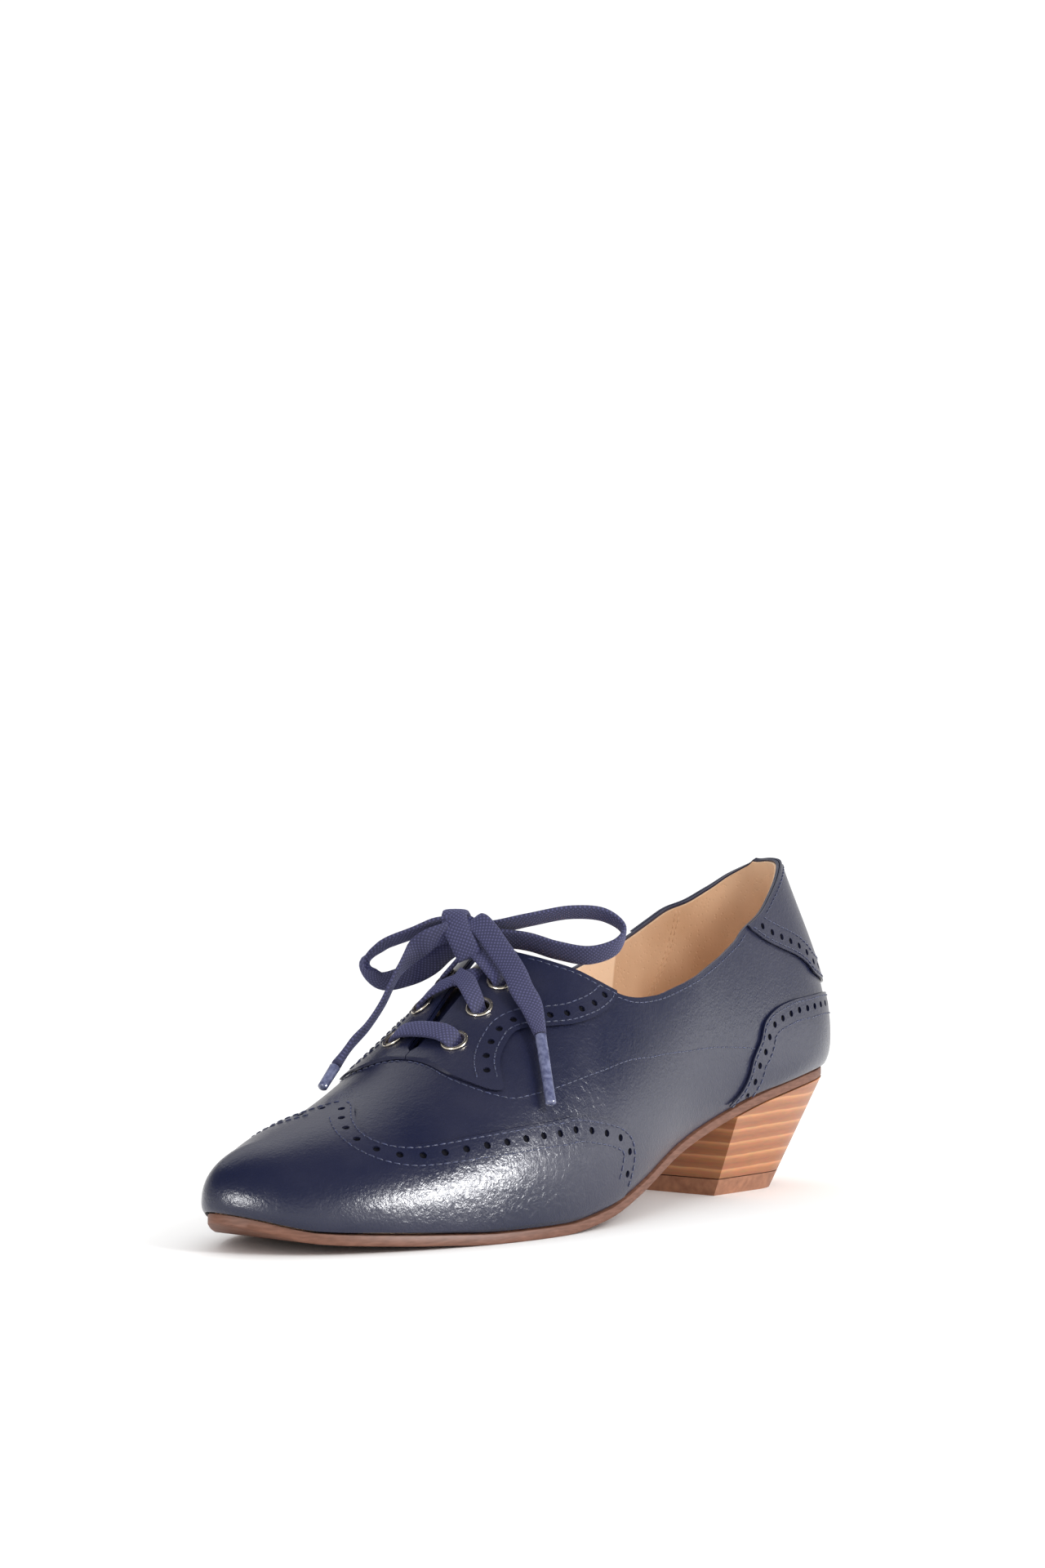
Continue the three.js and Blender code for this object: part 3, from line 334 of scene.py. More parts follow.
def make_aglet(name, ends):
    """A plastic sleeve with a rolled rim at each end, flattened a little where it was pressed."""
    start = np.array(ends[0], float)
    finish = np.array(ends[1], float)
    along = finish - start
    length = np.linalg.norm(along)
    along /= length
    aside = np.cross(along, [0.0, 0.0, 1.0])
    aside /= np.linalg.norm(aside)
    over = np.cross(along, aside)
    profile = [
        (0.0, 0.2), (0.0, 1.45), (0.25, 1.68), (0.8, 1.62),
        (length - 1.2, 1.5), (length - 0.3, 1.5), (length, 1.2), (length, 0.2),
    ]
    around = 20
    rings = []
    for reach, radius in profile:
        for k in range(around):
            angle = k / around * 2 * math.pi
            spoke = aside * math.cos(angle) * radius + over * math.sin(angle) * radius * 0.9
            rings.append(start + along * reach + spoke)
    faces = []
    for i in range(len(profile) - 1):
        for k in range(around):
            m = (k + 1) % around
            faces.append((i * around + k, i * around + m, (i + 1) * around + m, (i + 1) * around + k))
    faces.append(tuple(reversed(range(around))))
    faces.append(tuple((len(profile) - 1) * around + k for k in range(around)))
    piece = new_piece(name, in_metres(rings), faces, aglet_plastic)
    face_outwards(piece)
    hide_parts(name)
    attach(piece, "root")
    return piece


aglet_near = make_aglet("aglet_outer", AGLET_NEAR)
aglet_far = make_aglet("aglet_inner", AGLET_FAR)

core = flat_band("lace_knot_core", KNOT_CORE, lace_cotton, 24, 8.4, 5.6)[0]
knot = flat_band("lace_knot", KNOT_ROUTE, lace_cotton, 40, 7.6, 2.0)[0]
with bpy.context.temp_override(active_object=knot, selected_editable_objects=[knot, core], object=knot):
    bpy.ops.object.join()
face_outwards(knot)
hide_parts("lace_knot")
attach(knot, "root")


def free_lace(name, route, steps, width, pinch=None):
    piece, path = flat_band(name, route, lace_cotton, steps, width, LACE_THICKNESS, pinch)
    face_outwards(piece)
    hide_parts(name)
    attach(piece, "root")


TIP_PINCH = 13.0
free_lace("lace_loop_outer", LOOP_NEAR_ROUTE, 110, LACE_WIDTH)
free_lace("lace_loop_inner", LOOP_FAR_ROUTE, 90, LACE_WIDTH)
free_lace("lace_end_outer", END_NEAR_ROUTE, 70, 6.8, TIP_PINCH)
free_lace("lace_end_inner", END_FAR_ROUTE, 80, 6.8, TIP_PINCH)


# Last.
# Every upper piece is pulled over one wooden form, the last, and keeps its shape.
# The form is a ring of stations from the toe to the heel and back, with a smooth side at each.
LAST_LENGTH = 255.0
BALL_HALF_WIDTH = 40.0
BACK_HEIGHT = 108.0
SEAT_RISE = 36.0
SOLE_STEP = 3.2
SLIT_START = 0.318
SIDE_SWELL = 3.0
BELT_RISE = 15.0
BELT_SHARE = 0.22

STATIONS = np.array(
    [
        # y, outer, inner, bulge outer and inner, belt, ridge y, ridge x, ridge half, ridge z, lean, low, high
        [0.0, -0.125, -0.125, 0.433, 0.433, 0.2, 0.062, -0.15, 0.0, 0.258, 0, 0.56, 0.56],
        [0.012, 0.108, -0.29, 0.433, 0.433, 0.2, 0.064, -0.148, 0.0, 0.2592, 0, 0.56, 0.56],
        [0.045, 0.376, -0.468, 0.433, 0.433, 0.25, 0.079, -0.135, 0.0, 0.2688, 0, 0.56, 0.56],
        [0.1, 0.627, -0.697, 0.433, 0.433, 0.38, 0.118, -0.118, 0.0, 0.2962, 0, 0.56, 0.56],
        [0.18, 0.843, -0.867, 0.433, 0.433, 0.55, 0.19, -0.059, 0.0, 0.353, 0, 0.56, 0.56],
        [0.27, 0.987, -0.988, 0.433, 0.267, 0.8, 0.272, 0.0, 0.0, 0.462, 0, 0.54, 0.56],
        [0.34, 1.025, -0.995, 0.433, 0.267, 0.867, 0.34, 0.0, 0.0, 0.598, 5, 0.5, 0.5],
        [0.43, 0.992, -0.895, 0.833, 1.0, 0.933, 0.425, 0.0, 0.0, 0.758, 10, 0.45, 0.45],
        [0.52, 0.888, -0.729, 1.0, 1.667, 1.0, 0.51, 0.0, 0.0, 0.891, 15, 0.4, 0.42],
        [0.62, 0.768, -0.61, 0.833, 1.333, 1.0, 0.6, 0.0, 0.125, 1.022, 35, 0.3, 0.36],
        [0.72, 0.72, -0.593, 0.833, 1.167, 1.0, 0.7, 0.0, 0.25, 1.159, 62, 0.26, 0.34],
        [0.82, 0.717, -0.643, 0.767, 0.933, 0.493, 0.8, 0.0, 0.3, 1.196, 72, 0.26, 0.34],
        [0.904, 0.661, -0.613, 0.867, 0.867, 0.627, 0.873, 0.0, 0.288, 1.175, 78, 0.3, 0.34],
        [0.976, 0.44, -0.398, 0.933, 0.933, 0.693, 0.91, 0.0, 0.175, 1.132, 80, 0.34, 0.34],
        [1.007, 0.0, 0.0, 0.933, 0.933, 0.693, 0.92, 0.0, 0.0, 1.091, 80, 0.34, 0.34],
    ]
)
SOLE_PROFILE = np.array(
    [
        [-0.1, 0.4], [0, 0.216], [0.06, 0.084], [0.12, 0.049], [0.19, 0.019], [0.25, 0], [0.34, 0],
        [0.42, 0.058], [0.5, 0.203], [0.6, 0.457], [0.7, 0.657], [0.8, 0.826], [0.9, 0.935], [1.0, 0.993],
        [1.1, 1.03],
    ]
)


def steady_curve(points):
    """A curve through points that never overshoots them."""
    points = np.asarray(points, float)
    x = points[:, 0]
    y = points[:, 1]
    gap = np.diff(x)
    rise = np.diff(y) / gap
    slope = np.zeros(len(x))
    slope[0] = rise[0]
    slope[-1] = rise[-1]
    for i in range(1, len(x) - 1):
        if rise[i - 1] * rise[i] > 0:
            g = gap[i - 1]
            h = gap[i]
            slope[i] = 3 * (g + h) / ((2 * h + g) / rise[i - 1] + (h + 2 * g) / rise[i])

    def value(at):
        at = np.clip(at, x[0], x[-1])
        low = np.clip(np.searchsorted(x, at, side="right") - 1, 0, len(x) - 2)
        h = gap[low]
        t = (at - x[low]) / h
        return (
            y[low] * (1 + 2 * t) * (1 - t) ** 2
            + slope[low] * h * t * (1 - t) ** 2
            + y[low + 1] * t * t * (3 - 2 * t)
            + slope[low + 1] * h * t * t * (t - 1)
        )

    return value


sole_underside = steady_curve(SOLE_PROFILE * [LAST_LENGTH, SEAT_RISE])


def station_half(side):
    s = STATIONS
    outline = s[:, 1] if side > 0 else s[:, 2]
    bulge = s[:, 3] if side > 0 else s[:, 4]
    return np.stack(
        [
            outline * BALL_HALF_WIDTH,
            s[:, 0] * LAST_LENGTH,
            bulge * SIDE_SWELL,
            s[:, 5] * BELT_RISE,
            (s[:, 7] + side * s[:, 8]) * BALL_HALF_WIDTH,
            s[:, 6] * LAST_LENGTH,
            s[:, 9] * BACK_HEIGHT,
            s[:, 10],
            s[:, 11],
            s[:, 12],
        ],
        axis=1,
    )


station_steps = np.diff(STATIONS[:, 0]) * LAST_LENGTH
outer_chords = np.hypot(station_steps, np.diff(STATIONS[:, 1]) * BALL_HALF_WIDTH)
inner_chords = np.hypot(station_steps, np.diff(STATIONS[:, 2]) * BALL_HALF_WIDTH)
station_along = np.concatenate([[0.0], np.cumsum(np.sqrt((outer_chords + inner_chords) / 2))])
station_along /= station_along[-1]
ring_knots = np.concatenate([station_along, 2 - station_along[1:-1][::-1]])
ring_rows = np.vstack([station_half(1), station_half(-1)[1:-1][::-1]])
ring_gaps = np.diff(np.append(ring_knots, 2.0))
ring_size = len(ring_knots)
ring_matrix = np.zeros((ring_size, ring_size))
for i in range(ring_size):
    ring_matrix[i, i - 1] += ring_gaps[i - 1]
    ring_matrix[i, i] += 2 * (ring_gaps[i - 1] + ring_gaps[i])
    ring_matrix[i, (i + 1) % ring_size] += ring_gaps[i]
ring_rise = (np.roll(ring_rows, -1, axis=0) - ring_rows) / ring_gaps[:, None]
ring_bend = np.linalg.solve(ring_matrix, 6 * (ring_rise - np.roll(ring_rise, 1, axis=0)))


def last_column(side, along):
    at = np.mod(along if side > 0 else 2.0 - along, 2.0)
    i = np.clip(np.searchsorted(ring_knots, at, side="right") - 1, 0, ring_size - 1)
    j = (i + 1) % ring_size
    h = ring_gaps[i][..., None]
    b = (at - ring_knots[i])[..., None] / h
    a = 1 - b
    value = a * ring_rows[i] + b * ring_rows[j]
    value = value + ((a**3 - a) * ring_bend[i] + (b**3 - b) * ring_bend[j]) * h * h / 6
    slope = (ring_rows[j] - ring_rows[i]) / h
    slope = slope + ((3 * b * b - 1) * ring_bend[j] - (3 * a * a - 1) * ring_bend[i]) * h / 6
    return value, slope


def ridge_climb(along):
    slope = last_column(1, np.clip(along, 0.03, 0.97))[1]
    return np.clip(slope[..., 6] / slope[..., 5], -0.1, 1.2)


def last_point(side, along, up):
    """Places on the last: along runs from toe to heel, up from the sole's edge to the ridge."""
    along, up = np.broadcast_arrays(np.asarray(along, float), np.asarray(up, float))
    value, slope = last_column(side, along)
    x, y, bulge, belt, ridge_x, ridge_y, ridge_z, lean, low, high = np.moveaxis(value, -1, 0)
    run = np.hypot(slope[..., 0], slope[..., 1])
    zero = np.zeros_like(x)
    upward = np.array([0.0, 0.0, 1.0])
    out = np.stack([slope[..., 1] / run, -slope[..., 0] / run, zero], -1)
    edge = np.stack([x, y, sole_underside(y) + SOLE_STEP], -1)
    widest = edge + out * bulge[..., None] + upward * belt[..., None]
    first = edge + out * (bulge * 0.8)[..., None] + upward * (belt * 0.22)[..., None]
    second = widest - upward * (belt * 0.45)[..., None]
    t = np.clip(up / BELT_SHARE, 0, 1)[..., None]
    lower = (1 - t) ** 3 * edge + 3 * t * (1 - t) ** 2 * first + 3 * t * t * (1 - t) * second + t**3 * widest
    ridge = np.stack([ridge_x, ridge_y, ridge_z], -1)
    across = np.hypot(ridge_x - widest[..., 0], ridge_y - widest[..., 1]) + 1e-9
    in_x = (ridge_x - widest[..., 0]) / across
    in_y = (ridge_y - widest[..., 1]) / across
    tilt = np.radians(lean)
    inward = np.stack([in_x, in_y, in_y * ridge_climb(along)], -1)
    inward = inward / np.linalg.norm(inward, axis=-1, keepdims=True) * np.cos(tilt)[..., None]
    inward = inward + upward * np.sin(tilt)[..., None]
    inward = inward / np.linalg.norm(inward, axis=-1, keepdims=True)
    steep = np.clip(lean / 45, 0, 1)
    reach = (across * (1 - steep) + np.linalg.norm(ridge - widest, axis=-1) * steep) * high
    rising = widest + upward * ((ridge_z - widest[..., 2]) * low)[..., None]
    landing = ridge - inward * reach[..., None]
    w = np.clip((up - BELT_SHARE) / (1 - BELT_SHARE), 0, 1.2)[..., None]
    upper = (1 - w) ** 3 * widest + 3 * w * (1 - w) ** 2 * rising + 3 * w * w * (1 - w) * landing + w**3 * ridge
    return np.where((up < BELT_SHARE)[..., None], lower, upper)


def last_normal(side, along, up):
    """The way straight out of the last at a place."""
    along, up = np.broadcast_arrays(np.asarray(along, float), np.asarray(up, float))
    d = 5e-4
    a = np.where(along > 0.5, along - d, along)
    u = np.where(up > 0.5, up - d, up)
    onward = last_point(side, a + d, up) - last_point(side, a, up)
    upward = last_point(side, along, u + d) - last_point(side, along, u)
    normal = np.cross(onward, upward) * side
    return normal / np.maximum(np.linalg.norm(normal, axis=-1, keepdims=True), 1e-12)


def on_last(side, along, up, depth):
    """Places at a depth under the last's surface, or above it where the depth is negative."""
    along, up = np.broadcast_arrays(np.asarray(along, float), np.asarray(up, float))
    point = last_point(side, along, up)
    normal = last_normal(side, along, up)
    at_end = ((along <= 0) | (along >= 1))[..., None]
    both = normal + last_normal(-side, along, up)
    normal = np.where(at_end, both / np.linalg.norm(both, axis=-1, keepdims=True), normal)
    shut = ((up >= 1) & (along <= SLIT_START))[..., None]
    climb = ridge_climb(along)
    over = np.stack([0 * climb, -climb, 1 + 0 * climb], -1)
    over /= np.linalg.norm(over, axis=-1, keepdims=True)
    normal = np.where(shut, over, normal)
    point = np.where(shut, (point + last_point(-side, along, up)) / 2, point)
    return point - normal * depth


# Upper.
# Vamp and quarters are soft navy calf, about a millimetre thick, sewn to each other and drawn over the last.
# Here they are one hollow shell, open at the collar, along the lacing and underneath.
UPPER_DEPTH = 0.6
LEATHER_WALL = 1.0
COLLAR = {
    1: [
        [0, 1], [0.318, 1], [0.324, 0.985], [0.36, 0.975], [0.4, 0.965], [0.43, 0.955], [0.447, 0.945],
        [0.457, 0.86], [0.47, 0.78], [0.4851, 0.7135], [0.5012, 0.648], [0.5207, 0.5884], [0.5414, 0.5516],
        [0.5614, 0.533], [0.5913, 0.5202], [0.6217, 0.5211], [0.6535, 0.528], [0.6903, 0.5403],
        [0.7286, 0.5776], [0.7462, 0.6084], [0.7895, 0.6616], [0.8116, 0.6935], [0.839, 0.7305],
        [0.88, 0.782], [0.93, 0.828], [0.97, 0.86], [1, 0.872],
    ],
    -1: [
        [0, 1], [0.318, 1], [0.324, 0.975], [0.36, 0.96], [0.4, 0.945], [0.43, 0.935], [0.447, 0.925],
        [0.457, 0.85], [0.47, 0.775], [0.4851, 0.713], [0.5012, 0.648], [0.5207, 0.588], [0.5414, 0.551],
        [0.5614, 0.532], [0.5913, 0.519], [0.6217, 0.517], [0.6535, 0.519], [0.6903, 0.529], [0.7286, 0.556],
        [0.7567, 0.5922], [0.7893, 0.6334], [0.8185, 0.6618], [0.8489, 0.6748], [0.8881, 0.7164],
        [0.9286, 0.7789], [0.97, 0.838], [1, 0.872],
    ],
}


def leather_of_last(name, depth, thick, material, columns, rows, drop=0.0, start=0.0):
    """A sheet of leather over the whole last between two depths, up to the collar or a little under it."""
    along = np.linspace(0, 1, columns + 1)
    along[np.argmin(np.abs(along - SLIT_START))] = SLIT_START
    along = np.sort(np.append(along, SLIT_START + 0.002))
    shut = along <= SLIT_START
    points = []
    faces = []
    count = (columns + 2) * (rows + 1)
    outer_grids = []
    for side in (1, -1):
        back_from_edge = np.where(along < 0.452, 8 * drop, drop)
        top = np.where(shut, 1.0, np.clip(steady_curve(COLLAR[side])(along) - back_from_edge, 0, 0.999))
        share = np.linspace(0, 1, rows + 1)
        up = start + (top[:, None] - start) * share[None, :]
        up[:, -1] = top
        grid_along = np.repeat(along[:, None], rows + 1, 1)
        base = sum(len(p) for p in points)
        for number, layer in enumerate((depth, depth + thick)):
            grid = on_last(side, grid_along, up, layer)
            if side > 0:
                outer_grids.append(grid)
            else:
                grid[0] = outer_grids[number][0]
                grid[-1] = outer_grids[number][-1]
                grid[shut, -1] = outer_grids[number][shut, -1]
            points.append(grid.reshape(-1, 3))
        for i in range(columns + 1):
            for j in range(rows):
                a = base + i * (rows + 1) + j
                quad = (a, a + rows + 1, a + rows + 2, a + 1)
                faces.append(quad if side > 0 else quad[::-1])
                under = tuple(q + count for q in quad)
                faces.append(under[::-1] if side > 0 else under)
            a = base + i * (rows + 1)
            rim = (a, a + count, a + rows + 1 + count, a + rows + 1)
            faces.append(rim if side > 0 else rim[::-1])
            if shut[i] and shut[i + 1]:
                continue
            b = a + rows
            rim = (b, b + rows + 1, b + rows + 1 + count, b + count)
            faces.append(rim if side > 0 else rim[::-1])
    piece = new_piece(name, in_metres(np.vstack(points)), faces, material)
    work = bmesh.new()
    work.from_mesh(piece.data)
    bmesh.ops.remove_doubles(work, verts=work.verts, dist=2e-6)
    bmesh.ops.dissolve_degenerate(work, edges=work.edges, dist=1e-7)
    work.to_mesh(piece.data)
    work.free()
    return piece


def crease_sharp(piece, degrees):
    piece.data.shade_smooth()
    piece.data.set_sharp_from_angle(angle=math.radians(degrees))


def ranged(finish, value, inputs, **settings):
    return finish_step(finish, "MapRange", {"Value": value, **inputs}, **settings).outputs["Result"]


navy_leather = new_finish("navy_leather")
navy_place = place_on_piece(navy_leather)
navy_cloud = clouds(navy_leather, navy_place, 26, 4)
navy_creases = {"Vector": navy_place, "Scale": 520, "Detail": 5, "Roughness": 0.62, "Distortion": 0.8}
navy_crinkle = finish_step(navy_leather, "TexNoise", navy_creases).outputs["Fac"]
navy_pores = finish_step(
    navy_leather, "TexVoronoi", {"Vector": navy_place, "Scale": 900}, feature="DISTANCE_TO_EDGE"
).outputs["Distance"]
navy_height = combined(navy_leather, "MULTIPLY_ADD", navy_pores, 0.5, navy_crinkle)

# The leather is crinkled where the foot bends the vamp and along the outer side of the cap.
for middle, reach, gain in (((0.031, -0.112, 0.053), 0.036, 0.7), ((0.041, -0.150, 0.020), 0.048, 0.9)):
    away = finish_step(navy_leather, "VectorMath", {0: navy_place, 1: middle}, operation="DISTANCE")
    fold_reach = {"From Min": reach, "From Max": reach * 0.25, "To Max": gain}
    fold_share = ranged(navy_leather, away.outputs["Value"], fold_reach, interpolation_type="SMOOTHSTEP")
    navy_height = combined(navy_leather, "MULTIPLY_ADD", fold_share, navy_crinkle, navy_height)
NAVY_TONES = [(0.36, (0.0045, 0.0075, 0.032)), (0.68, (0.020, 0.0215, 0.048))]
navy_relief = relief(navy_leather, navy_height, 0.3, 0.0004)
navy_polish = {"From Min": 0.3, "From Max": 0.7, "To Min": 0.24, "To Max": 0.38}
dress(
    navy_leather,
    {
        "Base Color": tones(navy_leather, navy_cloud, NAVY_TONES),
        "Roughness": ranged(navy_leather, navy_cloud, navy_polish),
        "IOR": 1.5,
        "Specular IOR Level": 0.38,
        "Coat Weight": 0.28,
        "Coat Roughness": 0.16,
        "Normal": navy_relief,
        "Coat Normal": navy_relief,
    },
)

SHEET_COLUMNS = 240
SHEET_ROWS = 60
upper = leather_of_last("upper", UPPER_DEPTH, LEATHER_WALL, navy_leather, SHEET_COLUMNS, SHEET_ROWS)


# Eyelet places.
# Three eyelets a side go through facing, quarter and lining, square to the leather.
EYELETS = [[0.342, 0.865], [0.3855, 0.87], [0.4192, 0.874]]
EYELET_HOLE = 2.8
EYELET_BARREL = 3.15
EYELET_RIM = 4.0
EYELET_ROOM = 0.25
OVERLAY_TOP = 0.4


def drill(name, places, radius, low, high, sides=20):
    """Straight pins through the given places, each with its outward direction."""
    points = []
    faces = []
    for centre, outward in places:
        aside = np.cross(outward, [0.3, 0.9, 0.2])
        aside /= np.linalg.norm(aside)
        over = np.cross(outward, aside)
        base = len(points)
        for reach in (low, high):
            for k in range(sides):
                angle = k / sides * 2 * math.pi
                spoke = aside * math.cos(angle) + over * math.sin(angle)
                points.append(centre + outward * reach + spoke * radius)
        for k in range(sides):
            m = (k + 1) % sides
            faces.append((base + k, base + m, base + sides + m, base + sides + k))
        faces.append(tuple(base + k for k in reversed(range(sides))))
        faces.append(tuple(base + sides + k for k in range(sides)))
    piece = new_piece(name, in_metres(points), faces, None, smooth=False)
    face_outwards(piece)
    return piece


def cut(piece, tool, how):
    change = piece.modifiers.new("cut", "BOOLEAN")
    change.operation = how
    change.solver = "MANIFOLD"
    change.object = tool
    bpy.context.view_layer.update()
    seen = piece.evaluated_get(bpy.context.evaluated_depsgraph_get())
    made = bpy.data.meshes.new_from_object(seen)
    old = piece.data
    piece.modifiers.clear()
    piece.data = made
    made.name = old.name + "_cut"
    bpy.data.meshes.remove(old)


def throw_away(tool):
    mesh = tool.data
    bpy.data.objects.remove(tool)
    bpy.data.meshes.remove(mesh)


eyelet_places = []
for side in (1, -1):
    for along, up in EYELETS:
        eyelet_places.append((last_point(side, along, up), last_normal(side, along, up)))
eyelet_pins = drill("eyelet_pins", eyelet_places, EYELET_BARREL + EYELET_ROOM, -6, 6, 28)
cut(upper, eyelet_pins, "DIFFERENCE")
crease_sharp(upper, 40)
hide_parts("upper")
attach(upper, "root")


# Lining.
# The inside is lined with tan leather with fine pores, and a darker piece of it covers the heel.
# It is glued and sewn to the upper and ends just under the collar's edge.
lining_leather = new_finish("lining_leather")
lining_place = place_on_piece(lining_leather)
lining_cloud = clouds(lining_leather, lining_place, 45, 5)
lining_split = finish_step(lining_leather, "SeparateXYZ", {"Vector": lining_place}).outputs["Y"]
lining_front = tones(lining_leather, lining_cloud, [(0.3, (0.84, 0.59, 0.39)), (0.7, (0.96, 0.74, 0.54))])
lining_heel = tones(lining_leather, lining_cloud, [(0.3, (0.58, 0.36, 0.215)), (0.7, (0.70, 0.47, 0.30))])
lining_parts = {
    "Factor": ranged(lining_leather, lining_split, {"From Min": -0.0215, "From Max": -0.0205}),
    "A": lining_front,
    "B": lining_heel,
}
lining_pores = finish_step(lining_leather, "TexVoronoi", {"Vector": lining_place, "Scale": 620})
lining_height = ranged(lining_leather, lining_pores.outputs["Distance"], {"From Min": 0.05, "From Max": 0.3})
dress(
    lining_leather,
    {
        "Base Color": finish_step(lining_leather, "Mix", lining_parts, data_type="RGBA").outputs["Result"],
        "Roughness": 0.62,
        "Normal": relief(lining_leather, lining_height, 0.35, 0.0003),
    },
)

lining = leather_of_last("lining", UPPER_DEPTH + LEATHER_WALL + 0.05, 0.75, lining_leather, 160, 40, drop=0.006)
cut(lining, eyelet_pins, "DIFFERENCE")
crease_sharp(lining, 40)
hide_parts("upper")
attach(lining, "root")


# Laid-on pieces.
# The winged cap, the counter round the heel, the tab behind it and the two facings are cut from the same calf,
# skived at their edges, punched with a row of holes and sewn on with two rows of blue thread.
WING_EDGE = [
    [0.2319, 0.949], [0.2113, 0.845], [0.2012, 0.747], [0.2018, 0.665], [0.2133, 0.591], [0.2297, 0.549],
    [0.2561, 0.517], [0.2834, 0.488], [0.3275, 0.438], [0.3838, 0.394], [0.4066, 0.383], [0.4393, 0.344],
    [0.4687, 0.302], [0.4876, 0.253], [0.494, 0.2], [0.4908, 0.127], [0.4859, 0.068], [0.478, 0.0],
]
COUNTER_EDGE = [
    [0.683, 0.0], [0.6905, 0.023], [0.7106, 0.076], [0.7222, 0.144], [0.7297, 0.221], [0.7435, 0.29],
    [0.7535, 0.349], [0.7756, 0.391], [0.8091, 0.404], [0.8509, 0.384], [0.9, 0.366], [0.95, 0.352],
    [1.0, 0.35],
]
TAB_EDGE = [
    [0.758, 0.609], [0.7811, 0.582], [0.8085, 0.554], [0.8403, 0.515], [0.862, 0.477], [0.876, 0.442],
    [0.905, 0.409], [0.95, 0.386], [1.0, 0.378],
]
FACING_EDGE = [
    [0.3115, 1.0], [0.3102, 0.888], [0.3087, 0.778], [0.3174, 0.666], [0.3265, 0.612], [0.3365, 0.592],
    [0.3419, 0.625], [0.3528, 0.68], [0.3649, 0.704], [0.375, 0.713], [0.3847, 0.718], [0.3975, 0.705],
    [0.4242, 0.646], [0.4493, 0.604], [0.4675, 0.587], [0.4891, 0.574], [0.5104, 0.574], [0.5181, 0.585],
]
WING_KNEE = 5
PEAK_REACH = 1.6
FAR_OUT = 400.0
OVERLAY_THICKNESS = 0.7


def side_block(outline, from_x, to_x):
    """A straight block with an outline in length and height, between two places sideways."""
    points = [(x, y, z) for x in (from_x, to_x) for y, z in outline]
    return block_between(points, len(outline))


def plan_block(outline, from_z, to_z):
    """A straight block with an outline seen from above, between two heights."""
    points = [(x, y, z) for z in (from_z, to_z) for x, y in outline]
    return block_between(points, len(outline))


def block_between(points, count):
    faces = [(k, (k + 1) % count, count + (k + 1) % count, count + k) for k in range(count)]
    faces.append(tuple(reversed(range(count))))
    faces.append(tuple(range(count, 2 * count)))
    block = new_piece("pattern_block", in_metres(points), faces, None, smooth=False)
    face_outwards(block)
    return block


def seen_from_side(side, edge, steps):
    places = np.array(edge)
    return smooth_line(last_point(side, places[:, 0], places[:, 1])[:, 1:], steps)


def clicked_out(name, blocks):
    """A laid-on piece: what the pattern blocks leave of a thin sheet over the last."""
    sheet = (-OVERLAY_TOP, OVERLAY_THICKNESS, navy_leather, SHEET_COLUMNS, SHEET_ROWS)
    piece = leather_of_last(name, *sheet, start=0.035)
    tool = blocks[0]
    for other in blocks[1:]:
        cut(tool, other, "UNION")
        throw_away(other)
    cut(piece, tool, "INTERSECT")
    throw_away(tool)
    return piece


def main_body(piece):
    """Drops the crumbs that a cut has left beside the piece."""
    work = bmesh.new()
    work.from_mesh(piece.data)
    unseen = set(work.verts)
    groups = []
    while unseen:
        seed = unseen.pop()
        group = [seed]
        stack = [seed]
        while stack:
            for edge in stack.pop().link_edges:
                for vertex in edge.verts:
                    if vertex in unseen:
                        unseen.discard(vertex)
                        group.append(vertex)
                        stack.append(vertex)
        groups.append(group)
    groups.sort(key=len)
    crumbs = [vertex for group in groups[:-1] for vertex in group]
    bmesh.ops.delete(work, geom=crumbs, context="VERTS")
    work.to_mesh(piece.data)
    work.free()


def place_along(side, edge, inset, steps=400):
    """The shares of places along an edge on the last, moved to its left by an inset in millimetres."""
    shares = smooth_line(np.array(edge, float), steps)
    along = shares[:, 0]
    up = shares[:, 1]
    ahead = np.gradient(last_point(side, along, up), axis=0)
    ahead /= np.linalg.norm(ahead, axis=1)[:, None]
    want = np.cross(last_normal(side, along, up), ahead) * side * inset
    d = 1e-3
    onward = last_point(side, np.clip(along + d, 0, 1), up) - last_point(side, np.clip(along - d, 0, 1), up)
    by_along = onward / (2 * d)
    by_up = (last_point(side, along, up + d) - last_point(side, along, up - d)) / (2 * d)
    aa = (by_along * by_along).sum(1)
    ab = (by_along * by_up).sum(1)
    bb = (by_up * by_up).sum(1)
    wa = (want * by_along).sum(1)
    wb = (want * by_up).sum(1)
    det = aa * bb - ab * ab
    return shares + np.stack([(wa * bb - wb * ab) / det, (wb * aa - wa * ab) / det], 1)


def evenly(side, shares, spacing, depth):
    """Evenly spaced places along a row: the place, the way onwards and the way out."""
    under_collar = steady_curve(COLLAR[side])(np.clip(shares[:, 0], 0, 1)) - 0.012
    inside = (shares[:, 0] > 0.0) & (shares[:, 0] < 1.0)
    on_leather = inside & (shares[:, 1] > 0.02) & (shares[:, 1] < under_collar)
    shares = shares[on_leather]
    line = on_last(side, shares[:, 0], shares[:, 1], depth)
    run = np.concatenate([[0.0], np.cumsum(np.linalg.norm(np.diff(line, axis=0), axis=1))])
    count = max(2, int(round(run[-1] / spacing)))
    at = (np.arange(count) + 0.5) * run[-1] / count
    at = at[at < run[-1]]
    along = np.interp(at, run, shares[:, 0])
    up = np.interp(at, run, shares[:, 1])
    place = on_last(side, along, up, depth)
    ahead = np.stack([np.interp(at + 0.4, run, c) - np.interp(at - 0.4, run, c) for c in line.T], 1)
    ahead /= np.maximum(np.linalg.norm(ahead, axis=1)[:, None], 1e-9)
    outward = last_normal(side, along, up)
    return place, ahead, outward


STITCHES = {"thread": [], "lining": []}
HOLES = {"toe_cap": [], "heel_counter": [], "heel_tab": [], "facing_outer": [], "facing_inner": []}


